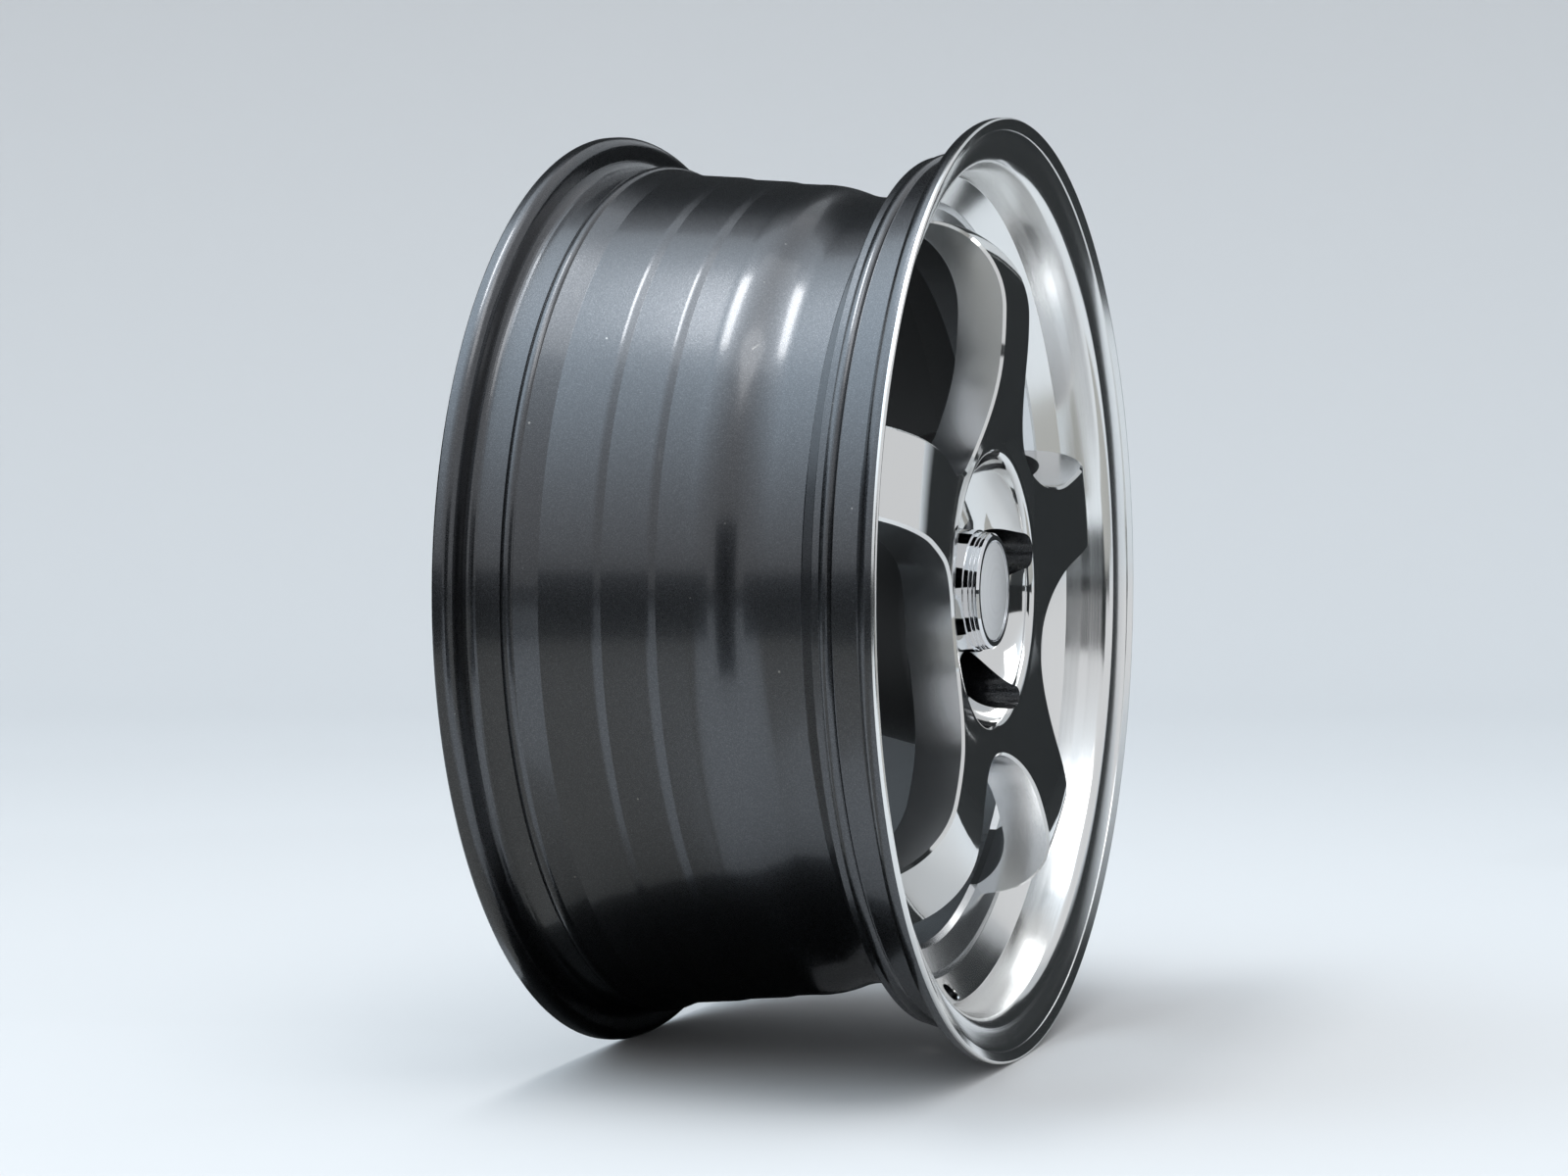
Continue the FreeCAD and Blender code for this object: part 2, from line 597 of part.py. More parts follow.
os.makedirs("parts", exist_ok=True)
for name, make in PIECES.items():
    piece = make()
    piece.exportStep("parts/" + name + ".step")
    print(name, "solids", len(piece.Solids), "valid", piece.isValid(), "volume", round(piece.Volume))
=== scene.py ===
"""Finishes a cast alloy wheel: polished face, turned lip, silver windows, black barrel and a plated cap.

Metres. The wheel's axis is Y, its face looks towards -Y and +Z is up. Outlines are drawn as (radius, depth),
where depth is measured backwards from the plane of the front flange.
"""
import math

import bmesh
import bpy
from mathutils import Matrix, Vector


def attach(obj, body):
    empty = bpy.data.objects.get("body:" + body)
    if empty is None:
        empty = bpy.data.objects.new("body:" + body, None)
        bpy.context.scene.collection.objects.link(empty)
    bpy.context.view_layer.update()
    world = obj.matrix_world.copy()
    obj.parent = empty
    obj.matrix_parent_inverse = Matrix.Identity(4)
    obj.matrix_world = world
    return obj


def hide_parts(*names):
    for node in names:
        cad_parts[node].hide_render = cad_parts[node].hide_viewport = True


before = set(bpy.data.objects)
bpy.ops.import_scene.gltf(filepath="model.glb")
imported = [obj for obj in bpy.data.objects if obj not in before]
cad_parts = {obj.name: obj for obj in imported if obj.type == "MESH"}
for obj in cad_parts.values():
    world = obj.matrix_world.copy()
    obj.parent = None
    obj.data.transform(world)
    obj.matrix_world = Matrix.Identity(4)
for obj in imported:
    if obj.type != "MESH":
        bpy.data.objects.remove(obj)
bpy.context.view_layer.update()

bl_info = {
    "name": "Alloy wheel finishes",
    "version": (1, 0, 0),
    "blender": (4, 5, 0),
    "location": "3D View > Sidebar > Wheel",
    "description": "Dresses the frame of a cast alloy wheel and sets a plain studio round it",
    "category": "Object",
}

BODY = "root"
WHEEL_AXIS = Vector((0, 1, 0))

# Finishes of the casting, in the order of its material slots
BLACK, FACE, LIP, SILVER, BARE, INSIDE = range(6)

# Each piece of the cap has a single finish
ONLY_FINISH = 0

# Fineness round the axis, across a spoke and down a window's wall
RIM_SEGMENTS = 180
CAP_SEGMENTS = 144
HOLE_SEGMENTS = 72
LEG_SEGMENTS = 8
SPOKE_COLUMNS = 20
WALL_ROWS = 6

# Fineness of the curves in the outlines
EDGE_STEPS = 5
FLANGE_STEPS = 10
FILLET_STEPS = 8
HUMP_STEPS = 10
WELL_STEPS = 8
TURNED_STEPS = 6
MOUTH_STEPS = 10
RING_FILLET_STEPS = 6
LIP_ROLL_STEPS = 14
LIP_BAND_STEPS = 10
CUP_STEPS = 26
CUP_RIM_STEPS = 10
DOME_STEPS = 24
CORNER_STEPS = 3

# Fineness of the spokes: hub's face, windows' inner end, up to the crest, down to the ring, into the ring
FACE_STEPS = 4
APEX_STEPS = 22
CREST_STEPS = 7
ROLL_STEPS = 20
ROOT_STEPS = 10

# Edges: which shade sharp, which corners are eased and how far, and how near points are welded
SHARP_ANGLE = math.radians(24)
EASED_ANGLE = math.radians(9)
CASTING_EASE = 0.0006
EASE_SHARE = 0.4
WELD = 0.000002

# Scuff in the paint above the drop centre: a bent scratch and its branch, by their corners, and their width
SCUFF = (
    ((-0.1773, -0.0256, 0.1199), (-0.1731, -0.0286, 0.1227),
     (-0.1700, -0.0320, 0.1247), (-0.1699, -0.0350, 0.1237)),
    ((-0.1744, -0.0276, 0.1220), (-0.1747, -0.0297, 0.1195)),
)
SCUFF_WIDTH = 0.0006

# Noise swings mostly between these two values
NOISE_LOW = 0.3
NOISE_HIGH = 0.7

# Stage: the backdrop's reach, bend and rise, the cards' fineness, lift and two rings, the matt finish
FLOOR_REACH = 9.0
BEND_START = 3.0
BEND_RADIUS = 1.6
BEND_STEPS = 12
BACKDROP_RISE = 7.0
CARD_STEPS = 16
CARD_LIFT = 0.002
NEAR_RING = 2.3
FAR_RING = 4.0
MATT_ROUGHNESS = 0.9
MATT_SPECULAR = 0.1
SENSOR_WIDTH = 36

# Lamps: name, place, target, width and height, tint. Their watts are settings of the same names.
LAMPS = (
    ("lamp_above", (-0.45, -0.40, 2.2), (-0.40, -0.40, 0), (1.1, 1.6), (0.96, 0.98, 1.0)),
    ("lamp_key", (-0.46, 0.31, 2.0), (-0.40, 0.31, 0), (0.26, 0.9), (1, 1, 1)),
    ("lamp_front", (-0.92, -0.92, 2.1), (0, 0, 0), (1.0, 1.0), (1, 1, 1)),
)


def length(name, description, default):
    """A size in metres that a user may change."""
    return bpy.props.FloatProperty(name=name, description=description, default=default, unit="LENGTH",
                                   precision=5)


def angle(name, description, degrees):
    """An angle that a user may change."""
    return bpy.props.FloatProperty(name=name, description=description, default=math.radians(degrees),
                                   unit="ROTATION")


def number(name, description, default, unit="NONE"):
    """A value that a user may change."""
    return bpy.props.FloatProperty(name=name, description=description, default=default, unit=unit)


def whole_number(name, description, default, least=0):
    """A count that a user may change."""
    return bpy.props.IntProperty(name=name, description=description, default=default, min=least)


def colour(name, description, default):
    """A colour that a user may change."""
    return bpy.props.FloatVectorProperty(name=name, description=description, default=default,
                                         subtype="COLOR", size=3, min=0, max=1)


def vector(name, description, default, subtype, unit="NONE"):
    """A place or direction that a user may change."""
    return bpy.props.FloatVectorProperty(name=name, description=description, default=default,
                                         subtype=subtype, unit=unit, size=3)


class RimSizes(bpy.types.PropertyGroup):
    """Sizes of the rim, its lip and the ring that carries the spokes."""

    half_width: length("Half width", "From the wheel's centre to a flange plane", 0.112)
    seat_radius: length("Bead seat radius", "Where the tyre's bead sits", 0.231)
    flange_height: length("Flange height", "Flange above the bead seat", 0.0175)
    flange_width: length("Flange width", "Flange from its face to its back", 0.0104)
    flange_curve: length("Flange curve", "Roll at the flange's back", 0.0064)
    flange_round: length("Flange edge", "Round of the flange's edge", 0.0014)
    bright_edge: length("Bright edge", "How far the bright turning runs over the flange's edge", 0.0022)
    bead_fillet: length("Bead fillet", "Round between flange and bead seat", 0.006)
    seat_end_radius: length("Seat end radius", "Bead seat at its inner end", 0.230025)
    seat_end_depth: length("Seat end depth", "Inner end of the bead seat behind the flange plane", 0.02755)
    hump_width: length("Hump width", "Width of the safety hump", 0.0065)
    hump_height: length("Hump height", "Height of the safety hump", 0.0016)
    rim_wall: length("Rim wall", "Thickness of the barrel", 0.0063)
    well_radius: length("Well radius", "Floor of the drop centre", 0.210)
    well_land: length("Well land", "Flat between hump and drop centre", 0.0036)
    well_wall_run: length("Well wall", "Length of the slope into the drop centre", 0.012)
    well_floor: length("Well floor", "Width of the drop centre's floor", 0.0175)
    well_rise: length("Well rise", "Height of the curve out of the drop centre", 0.0082)
    well_rise_run: length("Well rise length", "Length of the curve out of the drop centre", 0.039)
    taper: length("Barrel taper", "Growth of the barrel towards the rear", 0.0065)
    step_height: length("Turned step", "Height of each turned step on the barrel", 0.0008)
    step_run: length("Turned step length", "Length of each turned step", 0.0041)
    step_round: length("Turned step round", "Round at the upper edge of each turned step", 0.014)
    first_step: length("First step", "First turned step, from the rear plane", 0.102)
    second_step: length("Second step", "Second turned step, from the rear plane", 0.075)
    barrel_end: length("Barrel end", "End of the taper, from the rear plane", 0.046)
    mouth_round: length("Rear mouth", "Round at the rear mouth", 0.009)
    lip_step_radial: length("Lip step", "Lip's step inwards from the flange edge", 0.0062)
    lip_step_depth: length("Lip step depth", "Depth of the step", 0.0029)
    lip_face_slope: length("Flange face slope", "Slope of the flange's front", 0.0023)
    lip_roll: length("Lip roll", "Radius of the roll at the lip's inner edge", 0.008)
    lip_roll_height: length("Lip roll height", "Centre of the roll above the bead seat", 0.0017)
    lip_roll_depth: length("Lip roll depth", "Depth of the roll's centre", 0.0156)
    lip_roll_end: angle("Lip roll end", "Tilt of the lip where the roll ends", 15.0)
    lip_band_sag: length("Lip band sag", "Hollow of the band between roll and step", 0.0005)
    crease_wall: length("Crease", "Dish crease below the bead seat", 0.0111)
    crease_depth: length("Crease depth", "Depth of the dish crease", 0.0345)
    ring_outer: length("Ring outer radius", "Where the dish meets the ring", 0.2074)
    ring_depth: length("Ring depth", "Depth of the ring's ledge", 0.0456)
    ring_ledge: length("Ring ledge", "Width of the ledge", 0.0039)
    ring_face: length("Ring face", "Width of the sloped face", 0.0119)
    ring_drop: length("Ring drop", "Depth of the sloped face", 0.0069)
    ring_corner: length("Ring corner", "Width of the ring's eased corner", 0.0017)
    ring_corner_drop: length("Ring corner depth", "Depth of the eased corner", 0.0036)
    ring_thickness: length("Ring thickness", "Ring from ledge to back", 0.0345)
    ring_fillet: length("Ring fillet", "Round between ring and barrel", 0.004)


class SpokeSizes(bpy.types.PropertyGroup):
    """Sizes of the spokes, the hub and its holes."""

    count: whole_number("Spokes", "How many spokes and lug holes", 5, least=3)
    phase: angle("Spoke angle", "Angle of the first spoke, from +X towards +Z", 17.05)
    width: length("Spoke width", "Width of a spoke", 0.0478)
    thickness: length("Spoke thickness", "Front to back", 0.026)
    bevel: length("Spoke bevel", "Bright bevel along the window's edges", 0.0015)
    crest_depth: length("Crest depth", "Depth of the spokes' highest line", 0.004)
    crest_radius: length("Crest radius", "Radius of the spokes' highest line", 0.149573)
    roll_radius: length("Roll radius", "Curve from the crest down to the ring", 0.048)
    apex_radius: length("Window apex", "Radius of the windows' inner end", 0.0875)
    cup_rim_radius: length("Cup rim radius", "Edge of the cup round the cap", 0.077)
    cup_rim_depth: length("Cup rim depth", "Depth of the cup's edge", 0.0149)
    cup_rim_round: length("Cup rim round", "Round of the cup's edge", 0.0046)
    cup_corner: length("Cup corner", "Round at the cup's floor", 0.0288)
    cup_floor_depth: length("Cup floor depth", "Depth of the cup's floor", 0.0426)
    pad_depth: length("Mounting face depth", "Depth of the mounting face", 0.077)
    pad_radius: length("Mounting face radius", "Outer radius of the mounting face", 0.078)
    boss_flare: length("Boss flare", "Growth of the boss towards the spokes", 0.008)
    boss_fillet: length("Boss fillet", "Round between boss and spokes", 0.006)
    bore_radius: length("Hub bore radius", "Centring bore", 0.0363)
    bore_length: length("Hub bore length", "Length of the centring bore", 0.014)
    bore_chamfer: length("Hub bore chamfer", "Lead-in of the centring bore", 0.0015)
    cap_hole: length("Cap hole radius", "Hole that the cap clips into", 0.029)
    cap_hole_chamfer: length("Cap hole chamfer", "Lead-in of the cap's hole", 0.0008)
    groove_start: length("Groove start", "Depth where the cap's groove starts", 0.0486)
    groove_width: length("Groove width", "Width of the cap's groove", 0.0036)
    groove_depth: length("Groove depth", "Depth of the cap's groove", 0.0013)
    lug_circle: length("Lug circle radius", "Circle of the lug holes", 0.060)
    lug_hole: length("Lug hole radius", "Bolt hole", 0.0075)
    lug_pocket: length("Lug pocket radius", "Pocket round a bolt's head", 0.0156)
    lug_seat: length("Lug seat radius", "Wide end of the cone seat", 0.011)
    lug_seat_depth: length("Lug seat depth", "Depth where the cone seat starts", 0.063)
    lug_cone: length("Lug cone", "Height of the cone seat", 0.006062)
    valve_hole: length("Valve hole radius", "Hole for the tyre valve", 0.00565)
    valve_mouth: length("Valve mouth radius", "Shallow recess round the valve hole", 0.0068)
    valve_mouth_depth: length("Valve mouth depth", "Depth of that recess", 0.0004)
    valve_seat: length("Valve seat radius", "Flat seat on the tyre side", 0.009)
    valve_wall: length("Valve wall", "Metal at the valve hole", 0.0054)
    valve_distance: length("Valve distance", "From the ring up the dish to the valve hole", 0.0098)
    valve_window: whole_number("Valve window", "Window that the valve hole lines up with", 3)


class CapSizes(bpy.types.PropertyGroup):
    """Sizes of the centre cap."""

    radius: length("Cap radius", "Foot of the cap", 0.0327)
    base_height: length("Base height", "Plain foot of the cap", 0.0182)
    band_height: length("Band height", "Plain band above the foot", 0.0028)
    band_step: length("Band step", "Step from the foot to the band", 0.0012)
    ring_count: whole_number("Turned rings", "Rings below the front", 2)
    ring_height: length("Ring height", "Height of each turned ring", 0.0013)
    ring_step: length("Ring step", "Each ring's step inwards", 0.0003)
    groove_depth: length("Groove", "Depth of the grooves between rings", 0.0008)
    groove_height: length("Groove height", "Height of the grooves", 0.0009)
    front_chamfer: length("Front chamfer", "Slope at the front edge", 0.0013)
    plate: length("Plate", "Thickness behind the disc", 0.0024)
    disc_radius: length("Disc radius", "Domed disc", 0.0262)
    disc_gap: length("Disc gap", "Dark gap round the disc", 0.0008)
    disc_recess: length("Disc recess", "Depth of the disc's recess", 0.0022)
    disc_edge: length("Disc edge", "Height of the disc's edge", 0.0017)
    disc_dome: length("Disc dome", "Rise of the dome", 0.0019)
    leg_count: whole_number("Clip legs", "Legs at the back of the cap", 10)
    leg_outer: length("Leg outer radius", "Outside of the clip legs", 0.0287)
    leg_thickness: length("Leg thickness", "Thickness of the clip legs", 0.0022)
    leg_angle: angle("Leg angle", "Width of a clip leg", 22.0)
    barb_reach: length("Barb reach", "How far a barb stands out", 0.0009)
    barb_start: length("Barb start", "Depth where the barb starts", 0.049)
    barb_end: length("Barb end", "Depth where the leg ends", 0.0518)
    edge_ease: length("Edge ease", "Small round on the plated edges", 0.00025)


class WheelColours(bpy.types.PropertyGroup):
    """Colours of the wheel's finishes."""

    black_paint: colour("Black paint", "Barrel outside", (0.062, 0.065, 0.071))
    black_flake: colour("Black paint flake", "Sparkle in the black paint", (0.120, 0.124, 0.132))
    inside_paint: colour("Inside paint", "Barrel inside and backs of the spokes", (0.028, 0.028, 0.028))
    polished: colour("Polished metal", "Spokes and cup", (0.78, 0.78, 0.77))
    turned: colour("Turned metal", "Lip", (0.84, 0.84, 0.83))
    silver_paint: colour("Silver paint", "Window walls and ring", (0.68, 0.69, 0.70))
    silver_flake: colour("Silver flake", "Sparkle in the silver paint", (0.74, 0.75, 0.76))
    bare: colour("Bare metal", "Bores, seats and mounting face", (0.55, 0.55, 0.55))
    plating: colour("Plating", "Centre cap", (0.80, 0.81, 0.83))
    disc: colour("Disc", "Domed disc", (0.90, 0.91, 0.92))
    spring: colour("Spring wire", "Ring inside the clip legs", (0.38, 0.38, 0.40))
    dust: colour("Dust", "Specks that lie on the finishes", (0.42, 0.41, 0.39))


class StageSizes(bpy.types.PropertyGroup):
    """Floor, lamps, cards and camera."""

    floor: colour("Floor", "Plain pale floor and backdrop", (0.66, 0.66, 0.66))
    sky: colour("Surround", "Even light all round", (0.95, 0.97, 1.0))
    sky_strength: number("Surround strength", "Strength of that light", 0.76)
    glow: colour("Glow", "Soft glow overhead", (0.76, 0.89, 1.0))
    glow_strength: number("Glow strength", "Strength of the glow", 3.0)
    glow_way: vector("Glow direction", "Where the glow is", (-0.25, 0.50, 0.83), "DIRECTION")
    glow_edge: number("Glow edge", "Cosine at which the glow ends", 0.35)
    glow_fall: number("Glow fall", "How fast the glow fades", 3.0)
    lamp_above: number("Lamp above", "Watts of the large lamp overhead", 6.2, "POWER")
    lamp_key: number("Key lamp", "Watts of the narrow strong lamp", 9.0, "POWER")
    lamp_front: number("Front lamp", "Watts of the lamp high up in front", 7.0, "POWER")
    card: colour("Dark card", "Dark cards that the bright metal mirrors", (0.027, 0.028, 0.028))
    card_middle: colour("Grey card", "Grey cards that lie on the floor", (0.36, 0.34, 0.31))
    camera_place: vector("Camera", "Place of the camera", (-1.5119, -0.5335, 0.0310), "XYZ", "LENGTH")
    camera_azimuth: angle("Azimuth", "Turn of the camera round the wheel", -69.773)
    camera_elevation: angle("Elevation", "Height of the camera above the horizon", 1.072)
    camera_roll: angle("Roll", "Roll of the camera", -0.025)
    camera_lens: number("Lens", "Focal length in mm on a 36 mm sensor", 67.71, "CAMERA")


def corner_curve(start, corner, end, steps):
    """Points of a soft curve that cuts off a corner."""
    points = []
    for step in range(steps + 1):
        part = step / steps
        points.append(start * (1 - part) ** 2 + corner * 2 * part * (1 - part) + end * part * part)
    return points


class Outline:
    """A line in (radius, depth) whose stretches each carry a finish."""

    def __init__(self, radius, depth, finish):
        self.points = [Vector((radius, depth))]
        self.finishes = []
        self.finish = finish

    def paint(self, finish):
        self.finish = finish
        return self

    def line(self, radius, depth):
        self.points.append(Vector((radius, depth)))
        self.finishes.append(self.finish)
        return self

    def arc(self, centre, end, steps):
        """An arc about a centre, the short way round to its end."""
        hub = Vector(centre)
        first = self.points[-1] - hub
        last = Vector(end) - hub
        sweep = math.atan2(first.x * last.y - first.y * last.x, first.dot(last))
        for step in range(1, steps + 1):
            spoke = Matrix.Rotation(sweep * step / steps, 2) @ first
            self.line(*(hub + spoke))
        return self

    def bulge(self, through, end, steps):
        """An arc through a middle point to its end."""
        first, middle, last = self.points[-1], Vector(through), Vector(end)
        span = last - first
        rise = (middle - first).cross(span.normalized())
        half = span.length / 2
        size = (half * half + rise * rise) / (2 * rise)
        across = Vector((span.y, -span.x)).normalized()
        hub = (first + last) / 2 + across * (rise - size)
        return self.arc(hub, last, steps)

    def rounded(self, corner, towards, size, steps):
        """A stretch to a corner that turns towards another point in a round of the given size."""
        place = Vector(corner)
        before = self.points[-1] - place
        after = Vector(towards) - place
        cut = size * math.tan((math.pi - before.angle(after)) / 2)
        start = place + before.normalized() * cut
        end = place + after.normalized() * cut
        for point in corner_curve(start, place, end, steps):
            self.line(*point)
        return self

    def eased(self, size):
        """The same closed outline with its sharp corners rounded by a small curve."""
        count = len(self.points)
        soft = Outline(0, 0, BLACK)
        soft.points.clear()
        for index in range(count):
            point = self.points[index]
            before = self.points[index - 1] - point
            after = self.points[(index + 1) % count] - point
            turn = math.pi - before.angle(after)
            points = [point]
            if turn >= EASED_ANGLE:
                cut = min(size * math.tan(turn / 2), before.length * EASE_SHARE, after.length * EASE_SHARE)
                start = point + before.normalized() * cut
                end = point + after.normalized() * cut
                points = corner_curve(start, point, end, CORNER_STEPS)
            soft.points += points
            soft.finishes += [self.finishes[index - 1]] * len(points)
        soft.finishes = soft.finishes[1:] + soft.finishes[:1]
        return soft

    def close(self):
        """Drops a last point that lies on the first, and paints the stretch that closes the outline."""
        if (self.points[-1] - self.points[0]).length < WELD:
            self.points.pop()
        else:
            self.finishes.append(self.finish)
        return self


class WheelForm:
    """Sizes that follow from the settings, and the spokes' front and back as depths."""

    def __init__(self, scene):
        self.rim = scene.wheel_rim
        self.hub = scene.wheel_spokes
        rim, hub = self.rim, self.hub
        self.overall = 2 * rim.half_width
        self.flange_radius = rim.seat_radius + rim.flange_height
        self.barrel_start_radius = rim.well_radius + rim.well_rise
        hump_end = rim.seat_end_depth + rim.hump_width
        self.well_end_depth = hump_end + rim.well_land + rim.well_wall_run + rim.well_floor
        self.barrel_start_depth = self.well_end_depth + rim.well_rise_run
        self.barrel_end_depth = self.overall - rim.barrel_end
        self.ring_face_radius = rim.ring_outer - rim.ring_ledge
        self.ring_face_end = self.ring_face_radius - rim.ring_face
        self.window_end = self.ring_face_end - rim.ring_corner
        self.ring_back_depth = rim.ring_depth + rim.ring_thickness
        self.root_depth = self.ring_back_depth - rim.ring_fillet
        self.roll_centre = hub.crest_depth + hub.roll_radius
        self.roll_end = hub.crest_radius + hub.roll_radius
        reach = hub.crest_radius - hub.cup_rim_radius
        drop = hub.cup_rim_depth - hub.crest_depth
        self.face_curve = (reach ** 2 + drop ** 2) / (2 * drop)
        self.step = math.tau / hub.count
        self.boss_radius = hub.pad_radius + hub.boss_flare

    def barrel_radius(self, depth, steps_passed):
        """Radius of the tapered barrel behind so many turned steps."""
        rim = self.rim
        part = (depth - self.barrel_start_depth) / (self.barrel_end_depth - self.barrel_start_depth)
        return self.barrel_start_radius + rim.taper * part + rim.step_height * steps_passed

    def front_depth(self, radius):
        """Depth of the spokes' polished front."""
        off = radius - self.hub.crest_radius
        if off > 0:
            return self.roll_centre - math.sqrt(max(self.hub.roll_radius ** 2 - off ** 2, 0))
        return self.hub.crest_depth + self.face_curve - math.sqrt(self.face_curve ** 2 - off ** 2)

    def back_depth(self, radius):
        """Depth of the spokes' back, with the round that meets the boss."""
        fillet = self.hub.boss_fillet
        start = self.boss_radius + fillet
        if radius < start:
            return self.back_depth(start) + fillet - math.sqrt(max(fillet ** 2 - (start - radius) ** 2, 0))
        return self.front_depth(radius) + self.hub.thickness

    def place(self, radius, turn, depth):
        """A point of the wheel, its turn counted from +X towards +Z."""
        return Vector((radius * math.cos(turn), depth - self.rim.half_width, radius * math.sin(turn)))


def rim_outline(form):
    """Section of the rim, its lip and the ring that carries the spokes."""
    rim = form.rim
    back = form.overall
    top = form.flange_radius
    curve_radius = top - rim.flange_curve
    curve_depth = rim.flange_width - rim.flange_curve
    fillet_radius = rim.seat_radius + rim.bead_fillet
    fillet_depth = rim.flange_width + rim.bead_fillet
    hump_end = rim.seat_end_depth + rim.hump_width
    hump_top = (rim.seat_end_radius + rim.hump_height, rim.seat_end_depth + rim.hump_width / 2)
    line = Outline(top, rim.flange_round, LIP)
    line.line(top, rim.bright_edge)
    line.paint(BLACK).line(top, curve_depth)
    line.arc((curve_radius, curve_depth), (curve_radius, rim.flange_width), FLANGE_STEPS)
    line.line(fillet_radius, rim.flange_width)
    line.arc((fillet_radius, fillet_depth), (rim.seat_radius, fillet_depth), FILLET_STEPS)
    line.line(rim.seat_end_radius, rim.seat_end_depth)
    line.bulge(hump_top, (rim.seat_end_radius, hump_end), HUMP_STEPS)
    line.line(rim.seat_end_radius, hump_end + rim.well_land)
    line.line(rim.well_radius, hump_end + rim.well_land + rim.well_wall_run)
    line.line(rim.well_radius, form.well_end_depth)
    half_rise, half_run = rim.well_rise / 2, rim.well_rise_run / 2
    well_curve = (half_rise ** 2 + half_run ** 2) / rim.well_rise
    line.arc((rim.well_radius + well_curve, form.well_end_depth),
             (rim.well_radius + half_rise, form.well_end_depth + half_run), WELL_STEPS)
    line.arc((form.barrel_start_radius - well_curve, form.barrel_start_depth),
             (form.barrel_start_radius, form.barrel_start_depth), WELL_STEPS)
    steps = (rim.first_step, rim.second_step)
    for passed, distance in enumerate(steps):
        before = back - distance - rim.step_run / 2
        after = back - distance + rim.step_run / 2
        beyond = after + rim.step_run
        line.line(form.barrel_radius(before, passed), before)
        line.rounded((form.barrel_radius(after, passed + 1), after),
                     (form.barrel_radius(beyond, passed + 1), beyond), rim.step_round, TURNED_STEPS)
    barrel_end_radius = form.barrel_radius(form.barrel_end_depth, len(steps))
    line.line(barrel_end_radius, form.barrel_end_depth)
    line.line(rim.seat_end_radius, back - hump_end)
    line.bulge((hump_top[0], back - hump_top[1]), (rim.seat_end_radius, back - rim.seat_end_depth),
               HUMP_STEPS)
    line.line(rim.seat_radius, back - fillet_depth)
    line.arc((fillet_radius, back - fillet_depth), (fillet_radius, back - rim.flange_width), FILLET_STEPS)
    line.line(curve_radius, back - rim.flange_width)
    line.arc((curve_radius, back - curve_depth), (top, back - curve_depth), FLANGE_STEPS)
    line.line(top, back - rim.flange_round)
    line.arc((top - rim.flange_round, back - rim.flange_round), (top - rim.flange_round, back), EDGE_STEPS)
    mouth = rim.seat_radius - rim.rim_wall
    line.paint(INSIDE).line(mouth + rim.mouth_round, back)
    line.arc((mouth + rim.mouth_round, back - rim.mouth_round), (mouth, back - rim.mouth_round), MOUTH_STEPS)
    line.line(rim.seat_end_radius - rim.rim_wall, back - hump_end)
    line.line(barrel_end_radius - rim.rim_wall, form.barrel_end_depth)
    line.line(form.barrel_start_radius - rim.rim_wall, form.barrel_start_depth)
    inner_well = rim.well_radius - rim.rim_wall
    fillet_start = form.ring_back_depth + rim.ring_fillet
    line.line(inner_well, fillet_start)
    fillet_centre = inner_well - rim.ring_fillet
    line.arc((fillet_centre, fillet_start), (fillet_centre, form.ring_back_depth), RING_FILLET_STEPS)
    line.line(form.window_end, form.ring_back_depth)
    line.paint(SILVER).line(form.window_end, rim.ring_depth + rim.ring_drop + rim.ring_corner_drop)
    line.line(form.ring_face_end, rim.ring_depth + rim.ring_drop)
    line.line(form.ring_face_radius, rim.ring_depth)
    line.line(rim.ring_outer, rim.ring_depth)
    line.paint(LIP).line(rim.seat_radius - rim.crease_wall, rim.crease_depth)
    roll_centre = Vector((rim.seat_radius + rim.lip_roll_height, rim.lip_roll_depth))
    reach = roll_centre - line.points[-1]
    lean = math.asin(rim.lip_roll / reach.length)
    wall_way = Matrix.Rotation(-lean, 2) @ reach.normalized()
    line.line(*(line.points[-1] + wall_way * math.sqrt(reach.length_squared - rim.lip_roll ** 2)))
    roll_end = roll_centre - rim.lip_roll * Vector((math.sin(rim.lip_roll_end), math.cos(rim.lip_roll_end)))
    line.arc(roll_centre, roll_end, LIP_ROLL_STEPS)
    lip_step = top - rim.lip_step_radial
    band_middle = ((roll_end.x + lip_step) / 2, (roll_end.y + rim.lip_step_depth) / 2 + rim.lip_band_sag)
    line.bulge(band_middle, (lip_step, rim.lip_step_depth), LIP_BAND_STEPS)
    line.line(lip_step, rim.lip_face_slope)
    line.line(top - rim.flange_round, 0)
    line.arc((top - rim.flange_round, rim.flange_round), (top, rim.flange_round), EDGE_STEPS)
    return line.close()


